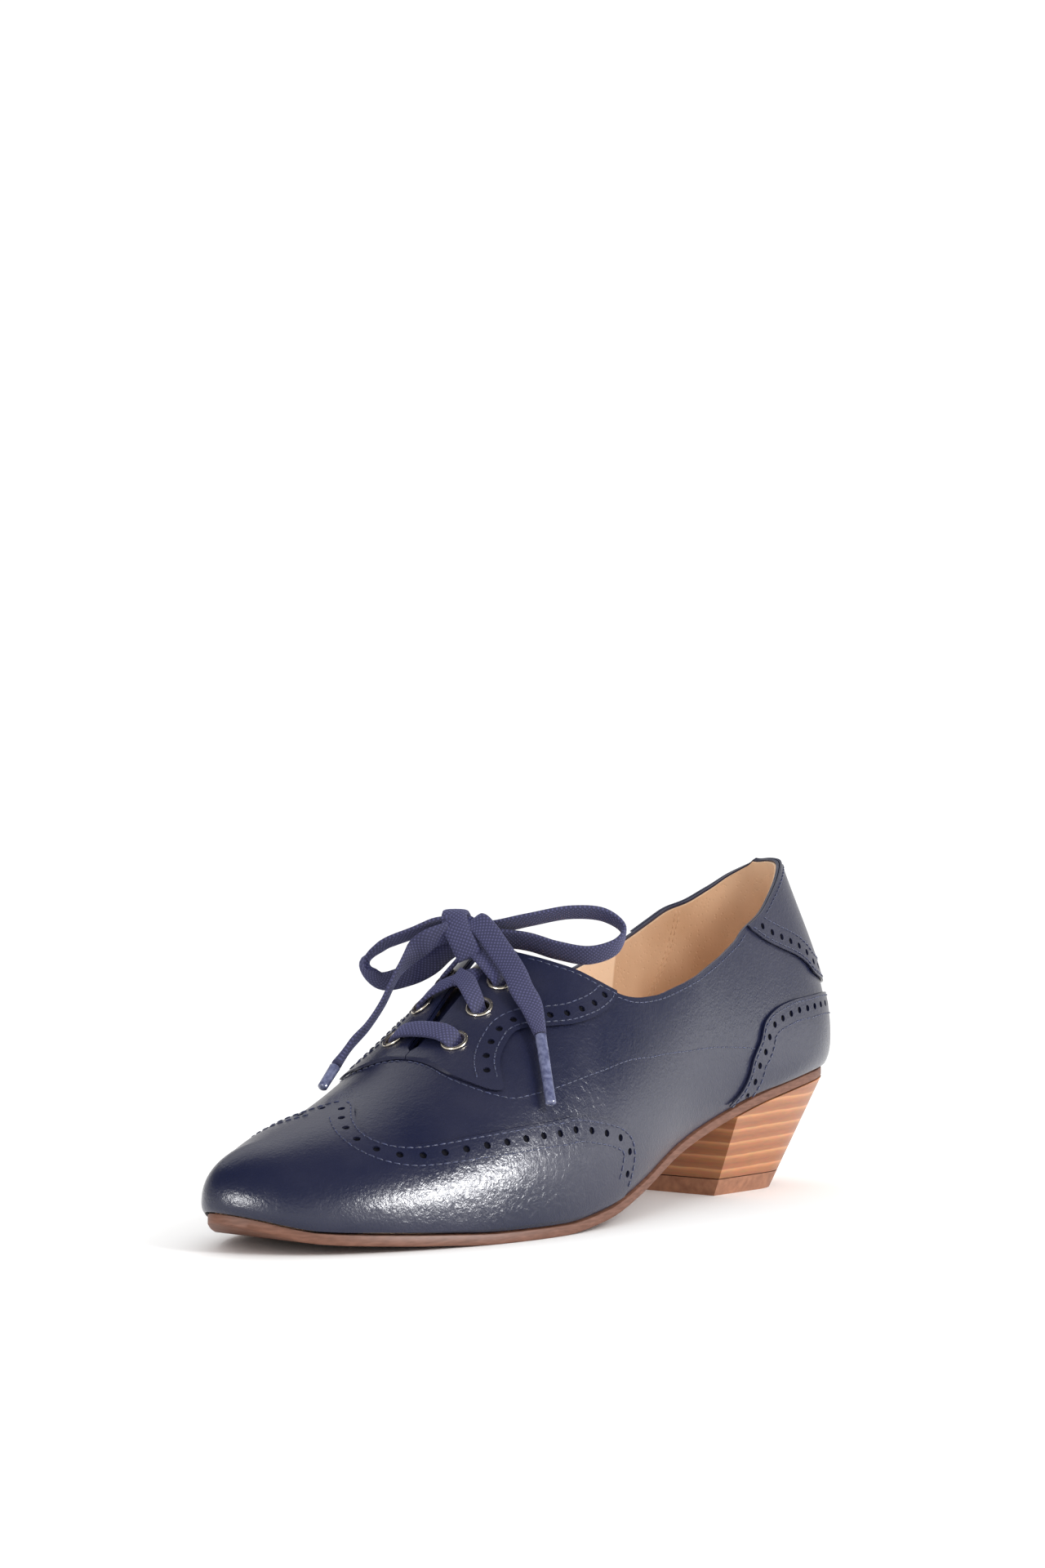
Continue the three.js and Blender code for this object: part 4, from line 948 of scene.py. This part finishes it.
def sew(side, shares, depth, spacing=2.35):
    place, ahead, outward = evenly(side, shares, spacing, depth)
    STITCHES["thread"].append((place, ahead, outward, spacing))


def punch(name, side, shares, spacing):
    place, _, outward = evenly(side, shares, spacing, 0.0)
    HOLES[name] += list(zip(place, outward))


ROW_BY_EDGE = 1.1
ROW_OF_HOLES = 3.7
ROW_INSIDE = 7.0
for side in (1, -1):
    wing = [[0.2345, 0.985]] + WING_EDGE[:-1]
    sew(side, place_along(side, wing, -ROW_BY_EDGE), -OVERLAY_TOP)
    sew(side, place_along(side, wing[1:], -ROW_INSIDE)[24:], -OVERLAY_TOP)
    punch("toe_cap", side, place_along(side, wing, -ROW_OF_HOLES), 6.3)
    facing = "facing_outer" if side > 0 else "facing_inner"
    for name, edge, way, inside, holes, spacing in (
        ("heel_counter", COUNTER_EDGE, -1, ROW_INSIDE, ROW_OF_HOLES, 5.2),
        ("heel_tab", TAB_EDGE, 1, ROW_INSIDE, ROW_OF_HOLES, 5.4),
        (facing, FACING_EDGE[6:], 1, ROW_INSIDE - 0.6, ROW_OF_HOLES - 0.3, 5.7),
    ):
        sew(side, place_along(side, edge, way * ROW_BY_EDGE), -OVERLAY_TOP)
        sew(side, place_along(side, edge, way * inside), -OVERLAY_TOP)
        punch(name, side, place_along(side, edge, way * holes), spacing)


def plan_of(side, rows):
    places = np.array(rows)
    return last_point(side, places[:, 0], places[:, 1])[:, :2].tolist()


peak = last_point(1, WING_EDGE[0][0], 1.0)
front_rows = WING_EDGE[: WING_KNEE + 1]
front_line = plan_of(-1, front_rows)[::-1] + [[peak[0], peak[1] + PEAK_REACH]] + plan_of(1, front_rows)
front_line = smooth_line(front_line, 90).tolist()
front_outline = front_line + [
    [FAR_OUT, front_line[-1][1]],
    [FAR_OUT, -FAR_OUT],
    [-FAR_OUT, -FAR_OUT],
    [-FAR_OUT, front_line[0][1]],
]
cap_blocks = [plan_block(front_outline, -FAR_OUT, FAR_OUT)]
for side in (1, -1):
    line = seen_from_side(side, WING_EDGE[WING_KNEE:], 90).tolist()
    shape = [[-FAR_OUT, line[0][1]]] + line + [[line[-1][0], -SEAT_RISE], [-FAR_OUT, -SEAT_RISE]]
    cap_blocks.append(side_block(shape, *((0.0, FAR_OUT) if side > 0 else (-FAR_OUT, 0.0))))
toe_cap = clicked_out("toe_cap", cap_blocks)

counter_blocks = []
tab_blocks = []
facings = {}
for side in (1, -1):
    reach = (0.0, FAR_OUT) if side > 0 else (-FAR_OUT, 0.0)
    line = seen_from_side(side, COUNTER_EDGE, 80).tolist()
    shape = [[line[0][0], -SEAT_RISE]] + line + [[FAR_OUT, line[-1][1]], [FAR_OUT, -SEAT_RISE]]
    counter_blocks.append(side_block(shape, *reach))
    line = seen_from_side(side, TAB_EDGE, 70).tolist()
    lead = [line[0][0] - 7.2, line[0][1] + 7.2]
    shape = [lead] + line + [[FAR_OUT, line[-1][1]], [FAR_OUT, FAR_OUT], [lead[0], FAR_OUT]]
    tab_blocks.append(side_block(shape, *reach))
    line = seen_from_side(side, FACING_EDGE, 110).tolist()
    lead = [line[-1][0] + 1.8, line[-1][1] + 5.4]
    shape = line + [lead, [lead[0], FAR_OUT], [line[0][0], FAR_OUT]]
    reach = (0.15, FAR_OUT) if side > 0 else (-FAR_OUT, -0.15)
    name = "facing_outer" if side > 0 else "facing_inner"
    facings[name] = clicked_out(name, [side_block(shape, *reach)])
heel_counter = clicked_out("heel_counter", counter_blocks)
heel_tab = clicked_out("heel_tab", tab_blocks)

HOLE_RADIUS = 1.05
laid_on = {"toe_cap": toe_cap, "heel_counter": heel_counter, "heel_tab": heel_tab, **facings}
for name, piece in laid_on.items():
    main_body(piece)
    if name in facings:
        cut(piece, eyelet_pins, "DIFFERENCE")
    pins = drill("punch_pins", HOLES[name], HOLE_RADIUS, -3, 3, 12)
    cut(piece, pins, "DIFFERENCE")
    throw_away(pins)
    crease_sharp(piece, 35)
    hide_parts(name)
    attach(piece, "root")
throw_away(eyelet_pins)


# Painted hole shade.
# Near-black discs lie between the laid-on leather and the upper, one under every punched hole, as painted shade
# seen down the holes.
painted_hole_shade = new_finish("painted_hole_shade")
hole_shade_cloud = clouds(painted_hole_shade, place_on_piece(painted_hole_shade), 1500)
# Near-black tones: painted shade inside the punched holes.
HOLE_SHADE_TONES = [(0.0, (0.002, 0.002, 0.004)), (1.0, (0.010, 0.010, 0.016))]
dress(
    painted_hole_shade,
    {
        "Base Color": tones(painted_hole_shade, hole_shade_cloud, HOLE_SHADE_TONES),
        "Roughness": 0.95,
        "Specular IOR Level": 0.1,
    },
)
all_holes = [place for places in HOLES.values() for place in places]
hole_shade_discs = drill("painted_hole_shade_discs", all_holes, 1.25, -0.52, -0.40, 10)
hole_shade_discs.data.materials.append(painted_hole_shade)
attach(hole_shade_discs, "root")


# Thread.
# Blue polished thread holds the seams, about eleven stitches to the inch, each pulled slightly into the calf.
# The vamp seam crosses the ridge in front of the lacing and runs back along both sides to the counter.
VAMP_SEAM = [
    [0.311, 0.985], [0.3110, 0.9514], [0.3102, 0.8882], [0.3087, 0.7779], [0.3174, 0.6658], [0.3342, 0.5764],
    [0.3488, 0.5387], [0.3923, 0.4978], [0.4503, 0.4651], [0.5008, 0.4363], [0.5472, 0.3991],
    [0.5692, 0.3854], [0.6384, 0.3343], [0.7023, 0.2762], [0.7360, 0.2694],
]
COLLAR_DROP = 1.6
COLLAR_ROWS = ((0.5181, 0.758, UPPER_DEPTH), (0.76, 1.01, -OVERLAY_TOP), (0.456, 0.53, -OVERLAY_TOP))
for side in (1, -1):
    sew(side, place_along(side, VAMP_SEAM, -0.9), UPPER_DEPTH)
    for start, end, depth in COLLAR_ROWS:
        rim = [place for place in COLLAR[side] if start < place[0] < end]
        sew(side, place_along(side, rim, -COLLAR_DROP), depth)

# Inside, two rows join the lining's front to its heel part.
LINING_SEAM = [
    [0.834, 0.655], [0.8329, 0.641], [0.827, 0.5658], [0.815, 0.4869], [0.7987, 0.4119], [0.785, 0.34],
]
LINING_INSIDE = UPPER_DEPTH + LEATHER_WALL + 0.8
for side in (1, -1):
    for aside in (-0.9, 0.9):
        place, ahead, outward = evenly(side, place_along(side, LINING_SEAM, aside), 2.2, LINING_INSIDE)
        STITCHES["lining"].append((place, ahead, -outward, 2.2))

blue_thread = new_finish("blue_thread")
thread_twist = clouds(blue_thread, place_on_piece(blue_thread), 900)
THREAD_TONES = [(0.3, (0.006, 0.010, 0.042)), (0.75, (0.022, 0.034, 0.120))]
dress(
    blue_thread,
    {
        "Base Color": tones(blue_thread, thread_twist, THREAD_TONES),
        "Roughness": 0.5,
        "Sheen Weight": 0.2,
    },
)

THREAD_RADIUS = 0.2
STITCH_SHAPE = (
    (-0.5, -0.18, 0.35), (-0.36, 0.06, 0.95), (0.0, 0.14, 1.0), (0.36, 0.06, 0.95), (0.5, -0.18, 0.35),
)


def thread_rows(name, rows, material):
    points = []
    faces = []
    for place, ahead, outward, spacing in rows:
        for centre, onward, out in zip(place, ahead, outward):
            aside = np.cross(onward, out)
            base = len(points)
            for share, rise, girth in STITCH_SHAPE:
                middle = centre + onward * share * spacing * 0.86 + out * rise
                for k in range(6):
                    angle = k / 6 * 2 * math.pi
                    spoke = aside * math.cos(angle) + out * math.sin(angle)
                    points.append(middle + spoke * THREAD_RADIUS * girth)
            for i in range(4):
                ring = base + i * 6
                for k in range(6):
                    m = (k + 1) % 6
                    faces.append((ring + k, ring + m, ring + 6 + m, ring + 6 + k))
            faces.append(tuple(base + k for k in reversed(range(6))))
            faces.append(tuple(base + 24 + k for k in range(6)))
    piece = new_piece(name, in_metres(points), faces, material)
    face_outwards(piece)
    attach(piece, "root")


thread_rows("seam_thread", STITCHES["thread"], blue_thread)
thread_rows("lining_thread", STITCHES["lining"], lining_leather)


# Eyelets.
# Nickel-plated rings, rolled over the facing on the outside and clenched on the inside.
nickel = new_finish("nickel")
nickel_scuff = clouds(nickel, place_on_piece(nickel), 600)
dress(
    nickel,
    {
        "Base Color": (0.66, 0.60, 0.49, 1),
        "Metallic": 1.0,
        "Roughness": ranged(nickel, nickel_scuff, {"To Min": 0.12, "To Max": 0.34}),
    },
)

RIM_FLOOR = OVERLAY_TOP + 0.12
EYELET_PROFILE = [
    (EYELET_HOLE, -2.8),
    (EYELET_BARREL, -2.8),
    (EYELET_BARREL, RIM_FLOOR),
    (EYELET_RIM - 0.12, RIM_FLOOR),
    (EYELET_RIM, RIM_FLOOR + 0.25),
    (EYELET_RIM - 0.12, RIM_FLOOR + 0.55),
    (EYELET_RIM - 0.5, RIM_FLOOR + 0.76),
    (EYELET_HOLE + 0.35, RIM_FLOOR + 0.66),
    (EYELET_HOLE + 0.06, RIM_FLOOR + 0.36),
    (EYELET_HOLE, RIM_FLOOR),
]
for side in (1, -1):
    for number, (along, up) in enumerate(EYELETS, 1):
        centre = last_point(side, along, up)
        outward = last_normal(side, along, up)
        aside = np.cross(outward, [0.3, 0.9, 0.2])
        aside /= np.linalg.norm(aside)
        over = np.cross(outward, aside)
        ring_points = []
        for k in range(36):
            angle = k / 36 * 2 * math.pi
            spoke = aside * math.cos(angle) + over * math.sin(angle)
            ring_points += [centre + spoke * radius + outward * height for radius, height in EYELET_PROFILE]
        count = len(EYELET_PROFILE)
        ring_faces = [
            (
                k * count + i,
                k * count + (i + 1) % count,
                ((k + 1) % 36) * count + (i + 1) % count,
                ((k + 1) % 36) * count + i,
            )
            for k in range(36)
            for i in range(count)
        ]
        name = f"eyelet_{'outer' if side > 0 else 'inner'}_{number}"
        eyelet = new_piece(name, in_metres(ring_points), ring_faces, nickel)
        face_outwards(eyelet)
        eyelet.data.set_sharp_from_angle(angle=math.radians(50))
        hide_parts(name)
        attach(eyelet, "root")


# Lacing.
# The lace lies as one bar over the lowest eyelets, crosses over the middle pair, and comes up through the top
# pair to the knot. Each strand dives into its eyelet.
def over_throat(side, along, up, lift):
    place = on_last(side, along, up, -OVERLAY_TOP - lift)
    return [float(place[0]), float(place[1]), float(place[2]), 0.0, 0.8, 0.6]


def lacing_piece(name, routes, width):
    made = [flat_band(name, route, lace_cotton, 36, width, 1.4)[0] for route in routes]
    if len(made) > 1:
        with bpy.context.temp_override(active_object=made[0], selected_editable_objects=made, object=made[0]):
            bpy.ops.object.join()
    piece = made[0]
    face_outwards(piece)
    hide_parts(name)
    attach(piece, "root")


low = EYELETS[0]
middle = EYELETS[1]
top = EYELETS[2]
lacing_piece(
    "lace_bar",
    [
        [
            over_throat(-1, low[0], low[1] - 0.004, -2.2),
            over_throat(-1, low[0], low[1] + 0.012, 0.9),
            over_throat(-1, low[0], 0.93, 1.9),
            over_throat(1, low[0], 0.95, 2.0),
            over_throat(1, low[0], low[1] + 0.035, 1.9),
            over_throat(1, low[0], low[1] + 0.008, 0.8),
            over_throat(1, low[0], low[1] - 0.006, -2.2),
        ]
    ],
    6.4,
)
lacing_piece(
    "lace_cross",
    [
        [
            over_throat(side, middle[0] - 0.002, middle[1] - 0.006, -2.0),
            over_throat(side, middle[0], middle[1] + 0.010, 1.0),
            over_throat(side, middle[0] + 0.006, 0.915, 2.3 + side * 0.3),
            over_throat(side, middle[0] + 0.014, 0.96, 2.2 + side * 0.5),
            over_throat(-side, middle[0] + 0.024, 0.97, 1.2),
            over_throat(-side, middle[0] + 0.030, 0.945, -1.6),
        ]
        for side in (1, -1)
    ],
    5.6,
)
for side, word in ((1, "outer"), (-1, "inner")):
    lacing_piece(
        f"lace_tie_{word}",
        [
            [
                over_throat(side, top[0] - 0.002, top[1] - 0.006, -2.0),
                over_throat(side, top[0], top[1] + 0.010, 1.0),
                over_throat(side, top[0] + 0.003, 0.92, 2.2),
                over_throat(side, top[0] + 0.006, 0.955, 3.4),
                [side * 1.6 - 1.2, 95.8, 78.2, 0.0, 0.8, 0.6],
            ]
        ],
        5.4,
    )


# Tongue.
# A thin leather flap sewn in under the front of the lacing. It keeps the laces off the foot.
UPPER_WALL = 1.8
TONGUE_GAP = 1.0
TONGUE_DEPTH = UPPER_DEPTH + UPPER_WALL + TONGUE_GAP
tongue_across = np.linspace(-1, 1, 49)
tongue_along = np.linspace(0, 1, 61)
tongue_layers = []
for depth in (TONGUE_DEPTH, TONGUE_DEPTH + 1.5):
    rows = []
    for step in tongue_along:
        row = []
        for place in tongue_across:
            side = 1 if place >= 0 else -1
            up = 1 - 0.19 * abs(place)
            tip = 0.462 - 0.014 * abs(place) ** 4
            row.append(on_last(side, 0.285 + (tip - 0.285) * step, up, depth))
        rows.append(row)
    tongue_layers.append(np.array(rows))
wide_count = len(tongue_across)
long_count = len(tongue_along)
layer_count = wide_count * long_count
tongue_faces = []
for i in range(long_count - 1):
    for k in range(wide_count - 1):
        a = i * wide_count + k
        quad = (a, a + 1, a + wide_count + 1, a + wide_count)
        tongue_faces.append(quad)
        tongue_faces.append(tuple(q + layer_count for q in quad[::-1]))
border = (
    list(range(wide_count))
    + [i * wide_count + wide_count - 1 for i in range(1, long_count)]
    + [(long_count - 1) * wide_count + k for k in range(wide_count - 2, -1, -1)]
    + [i * wide_count for i in range(long_count - 2, 0, -1)]
)
for a, b in zip(border, border[1:] + border[:1]):
    tongue_faces.append((a, b, b + layer_count, a + layer_count))
tongue_points = in_metres(np.vstack([layer.reshape(-1, 3) for layer in tongue_layers]))
tongue = new_piece("tongue", tongue_points, tongue_faces, navy_leather)
face_outwards(tongue)
crease_sharp(tongue, 50)
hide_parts("tongue")
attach(tongue, "root")


# Sole.
# A thin leather sole with a stained, burnished edge, glued on flush with the upper. Its lower rim is bevelled
# more at the toe, where the sole lifts off the ground.
SOLE_GAP = 0.3
TOE_BEVEL = 4.5
TOE_BEVEL_REACH = 0.11
sole_leather = new_finish("sole_leather")
sole_place = place_on_piece(sole_leather)
sole_stretch = finish_step(sole_leather, "Mapping", {"Vector": sole_place, "Scale": (1, 1, 6)})
sole_fibre = clouds(sole_leather, sole_stretch.outputs["Vector"], 260, 6)
SOLE_TONES = [(0.3, (0.135, 0.056, 0.034)), (0.72, (0.225, 0.105, 0.070))]
dress(
    sole_leather,
    {
        "Base Color": tones(sole_leather, sole_fibre, SOLE_TONES),
        "Specular IOR Level": 0.22,
        "Roughness": 0.5,
        "Normal": relief(sole_leather, sole_fibre, 0.2, 0.0002),
    },
)


def sole_layer(name, material, profile, columns=220, across=10):
    """A layer with the sole's outline. The profile holds insets, and heights above the sole's underside."""
    along = np.linspace(0, 1, columns + 1)
    sides = {}
    for side in (1, -1):
        value, slope = last_column(side, along)
        run = np.hypot(slope[:, 0], slope[:, 1])
        out = np.stack([slope[:, 1] / run, -slope[:, 0] / run], 1)
        sides[side] = (value[:, :2], out)
    points = []
    toe_bevel = np.clip(1 - along / TOE_BEVEL_REACH, 0, 1) ** 1.5 * TOE_BEVEL
    for inset, height in profile:
        for side in (1, -1):
            set_in = inset * (1 + toe_bevel * (height < 1.0))
            plan = sides[side][0] - sides[side][1] * set_in[:, None]
            points.append(np.column_stack([plan, sole_underside(plan[:, 1]) + height]))
    faces = []
    count = columns + 1
    rings = len(profile)
    for r in range(rings - 1):
        for i in range(columns):
            a = 2 * r * count + i
            faces.append((a, a + 1, a + 1 + 2 * count, a + 2 * count))
            b = (2 * r + 1) * count + i
            faces.append((b + 1, b, b + 2 * count, b + 1 + 2 * count))
    base = 2 * rings * count
    for ring in (0, rings - 1):
        outer = points[2 * ring]
        inner = points[2 * ring + 1]
        height = profile[ring][1]
        shares = np.linspace(0, 1, across + 1)
        plan = outer[:, None, :2] * (1 - shares[None, :, None]) + inner[:, None, :2] * shares[None, :, None]
        level = sole_underside(plan[..., 1]) + height
        points.append(np.concatenate([plan, level[..., None]], -1).reshape(-1, 3))
        for i in range(columns):
            for k in range(across):
                a = base + i * (across + 1) + k
                quad = (a, a + 1, a + across + 2, a + across + 1)
                faces.append(quad if ring == 0 else quad[::-1])
        base += count * (across + 1)
    piece = new_piece(name, in_metres(np.vstack(points)), faces, material)
    work = bmesh.new()
    work.from_mesh(piece.data)
    bmesh.ops.remove_doubles(work, verts=work.verts, dist=3e-6)
    bmesh.ops.dissolve_degenerate(work, edges=work.edges, dist=1e-7)
    bmesh.ops.recalc_face_normals(work, faces=work.faces)
    work.to_mesh(piece.data)
    work.free()
    crease_sharp(piece, 40)
    return piece


SOLE_TOP = SOLE_STEP - SOLE_GAP
outsole = sole_layer(
    "outsole",
    sole_leather,
    [(0.5, 0.0), (0.12, 0.18), (0.0, 0.5), (0.0, SOLE_TOP - 0.35), (0.08, SOLE_TOP - 0.1), (0.25, SOLE_TOP)],
)
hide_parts("outsole")
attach(outsole, "root")


# Insole.
# A full sock of the same tan leather as the lining, glued to the inside of the sole.
insole_profile = [(3.4, SOLE_STEP), (3.2, SOLE_STEP + 0.5), (3.3, SOLE_STEP + 1.7)]
insole = sole_layer("insole", lining_leather, insole_profile, 140)
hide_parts("insole")
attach(insole, "root")


# Heel.
# A block of stacked leather layers, ground to shape, stained and waxed, on a darker top piece that wears on the
# ground. Light glue lines part the layers.
HEEL_HALF_WIDTH = 17.2
HEEL_STRAIGHT = 24.9
HEEL_UNDERCUT = 23.4
HEEL_BREAST_LEAN = 4.8
TOP_PIECE_THICKNESS = 5.2
LAYER_THICKNESS = 4.3
heel_rear = STATIONS[-1, 0] * LAST_LENGTH - HEEL_UNDERCUT
heel_breast = heel_rear - HEEL_HALF_WIDTH - HEEL_STRAIGHT

stacked_leather = new_finish("stacked_wood")
stack_place = place_on_piece(stacked_leather)
stack_split = finish_step(stacked_leather, "SeparateXYZ", {"Vector": stack_place}).outputs["Z"]
stack_waver = clouds(stacked_leather, stack_place, 60)
stack_height = combined(stacked_leather, "MULTIPLY_ADD", stack_waver, 0.0010, stack_split)
stack_layer = combined(stacked_leather, "DIVIDE", stack_height, LAYER_THICKNESS / 1000.0)
stack_within = combined(stacked_leather, "FRACT", stack_layer)
STACK_TONES = [
    (0.0, (0.74, 0.32, 0.13)),
    (0.07, (0.80, 0.38, 0.165)),
    (0.16, (0.50, 0.185, 0.072)),
    (0.5, (0.43, 0.155, 0.060)),
    (0.85, (0.55, 0.215, 0.085)),
    (1.0, (0.74, 0.32, 0.13)),
]
stack_stretch = finish_step(stacked_leather, "Mapping", {"Vector": stack_place, "Scale": (1, 1, 9)})
stack_grain = {"Vector": stack_stretch.outputs["Vector"], "Scale": 190, "Detail": 7}
stack_fibre = finish_step(stacked_leather, "TexNoise", stack_grain)
stack_dapple = {
    "Factor": 0.45,
    "A": tones(stacked_leather, stack_within, STACK_TONES),
    "B": stack_fibre.outputs["Color"],
}
stack_blend = finish_step(stacked_leather, "Mix", stack_dapple, data_type="RGBA", blend_type="MULTIPLY")
dress(
    stacked_leather,
    {
        "Base Color": stack_blend.outputs["Result"],
        "Roughness": 0.42,
        "Normal": relief(stacked_leather, stack_fibre.outputs["Fac"], 0.25, 0.0002),
    },
)

heel_rubber = new_finish("heel_rubber")
rubber_cloud = clouds(heel_rubber, place_on_piece(heel_rubber), 320, 6)
RUBBER_TONES = [(0.3, (0.25, 0.100, 0.048)), (0.7, (0.42, 0.185, 0.095))]
dress(
    heel_rubber,
    {
        "Base Color": tones(heel_rubber, rubber_cloud, RUBBER_TONES),
        "Roughness": 0.62,
    },
)


def along_at(side, y):
    low = 0.6
    high = 1.0
    for _ in range(40):
        half = (low + high) / 2
        if last_column(side, np.array(half))[0][1] < y:
            low = half
        else:
            high = half
    return low


def heel_slice(name, material, low, high, levels):
    """The part of the heel's block between two heights. Its sides are straight from the ground to the sole."""
    steps = 60
    top_starts = {side: along_at(side, heel_breast - HEEL_BREAST_LEAN) for side in (1, -1)}
    walk = HEEL_HALF_WIDTH * math.pi / 2 + HEEL_STRAIGHT
    feet = []
    heads = []
    for i in range(2 * steps + 1):
        side = 1 if i <= steps else -1
        share = i / steps if side > 0 else 2 - i / steps
        along = top_starts[side] + (1 - top_starts[side]) * share
        x, y = last_column(side, np.array(along))[0][:2]
        heads.append((x, y, float(sole_underside(y)) - SOLE_GAP))
        walked = walk * share
        angle = max(0.0, walked - HEEL_STRAIGHT) / HEEL_HALF_WIDTH
        feet.append(
            (
                HEEL_AXIS + side * HEEL_HALF_WIDTH * math.cos(angle),
                heel_breast + min(walked, HEEL_STRAIGHT) + HEEL_HALF_WIDTH * math.sin(angle),
                0.0,
            )
        )
    feet = np.array(feet)
    heads = np.array(heads)
    rings = []
    for level in np.linspace(0, 1, levels):
        bottom = low / heads[:, 2] if low > 0 else np.zeros(len(heads))
        top = np.ones(len(heads)) if high is None else high / heads[:, 2]
        share = (bottom + (top - bottom) * level)[:, None]
        rings.append(feet * (1 - share) + heads * share)
    count = 2 * steps + 1
    faces = []
    for r in range(levels - 1):
        for i in range(count):
            m = (i + 1) % count
            faces.append((r * count + i, r * count + m, (r + 1) * count + m, (r + 1) * count + i))
    for ring in (0, levels - 1):
        for i in range(steps):
            a = ring * count + i
            b = ring * count + count - 1 - i
            quad = (a, b, b - 1, a + 1) if i < steps - 1 else (a, b, a + 1)
            faces.append(quad)
    piece = new_piece(name, in_metres(np.vstack(rings)), faces, material)
    face_outwards(piece)
    soften = piece.modifiers.new("ground_edges", "BEVEL")
    soften.width = 0.00025
    soften.segments = 2
    soften.limit_method = "ANGLE"
    soften.angle_limit = math.radians(40)
    crease_sharp(piece, 35)
    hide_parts(name)
    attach(piece, "root")
    return piece


heel_stack = heel_slice("heel_stack", stacked_leather, TOP_PIECE_THICKNESS + SOLE_GAP, None, 9)
heel_top_piece = heel_slice("heel_top_piece", heel_rubber, 0.0, TOP_PIECE_THICKNESS, 4)


# Table and light.
# A white table under a bright, even studio sky, with a soft box to the right that shines on the cap's side.
table_white = new_finish("table_white")
dress(table_white, {"Base Color": (0.96, 0.955, 0.95, 1), "Roughness": 1.0, "Specular IOR Level": 0.0})
corners = [(-6, -6, 0), (6, -6, 0), (6, 6, 0), (-6, 6, 0)]
table = new_piece("table", corners, [(0, 1, 2, 3)], table_white, smooth=False)

sky = bpy.data.worlds.new("studio_sky")
bpy.context.scene.world = sky
sky.use_nodes = True
paper = sky.node_tree.nodes["Background"]
feed(sky, paper, {"Color": (1.0, 1.0, 1.0, 1), "Strength": 1.12})

# What shines in the leather and the eyelets is the room round the table, lit below and dark above.
room_way = finish_step(sky, "TexCoord", {}).outputs["Generated"]
room_height = finish_step(sky, "SeparateXYZ", {"Vector": room_way}).outputs["Z"]
ROOM_TONES = [
    (0.0, (0.86, 0.85, 0.84)),
    (0.16, (0.80, 0.79, 0.79)),
    (0.42, (0.22, 0.22, 0.24)),
    (1.0, (0.07, 0.07, 0.08)),
]
room = finish_step(sky, "Background", {"Color": tones(sky, room_height, ROOM_TONES)})
room_pick = {
    "Fac": finish_step(sky, "LightPath", {}).outputs["Is Glossy Ray"],
    1: paper.outputs["Background"],
    2: room.outputs["Background"],
}
room_mix = finish_step(sky, "MixShader", room_pick).outputs["Shader"]
feed(sky, sky.node_tree.nodes["World Output"], {"Surface": room_mix})


def soft_box(name, place, aim, width, height, power, shines=True, fills=True):
    lamp = bpy.data.lights.new(name, "AREA")
    lamp.shape = "RECTANGLE"
    lamp.size = width
    lamp.size_y = height
    lamp.energy = power
    holder = bpy.data.objects.new(name, lamp)
    bpy.context.scene.collection.objects.link(holder)
    holder.location = place
    holder.rotation_euler = (Vector(aim) - Vector(place)).to_track_quat("-Z", "Y").to_euler()
    holder.visible_glossy = shines
    holder.visible_diffuse = fills
    holder.visible_camera = False


soft_box("box_right", (1.03, 0.01, 0.19), (0.0, -0.12, 0.04), 0.44, 0.22, 27.0, fills=False)
soft_box("box_right_fill", (0.95, -0.20, 0.60), (0.0, -0.12, 0.04), 0.30, 0.30, 5.0, shines=False)
soft_box("box_behind", (0.66, 0.62, 0.06), (0.0, -0.05, 0.05), 0.75, 0.18, 0.6)
soft_box("box_front", (0.10, -1.40, 0.16), (0.0, -0.2, 0.03), 0.34, 0.24, 9.0, fills=False)
soft_box("box_left", (-0.81, 0.27, 0.90), (0.0, -0.15, 0.05), 0.9, 0.7, 1.2)
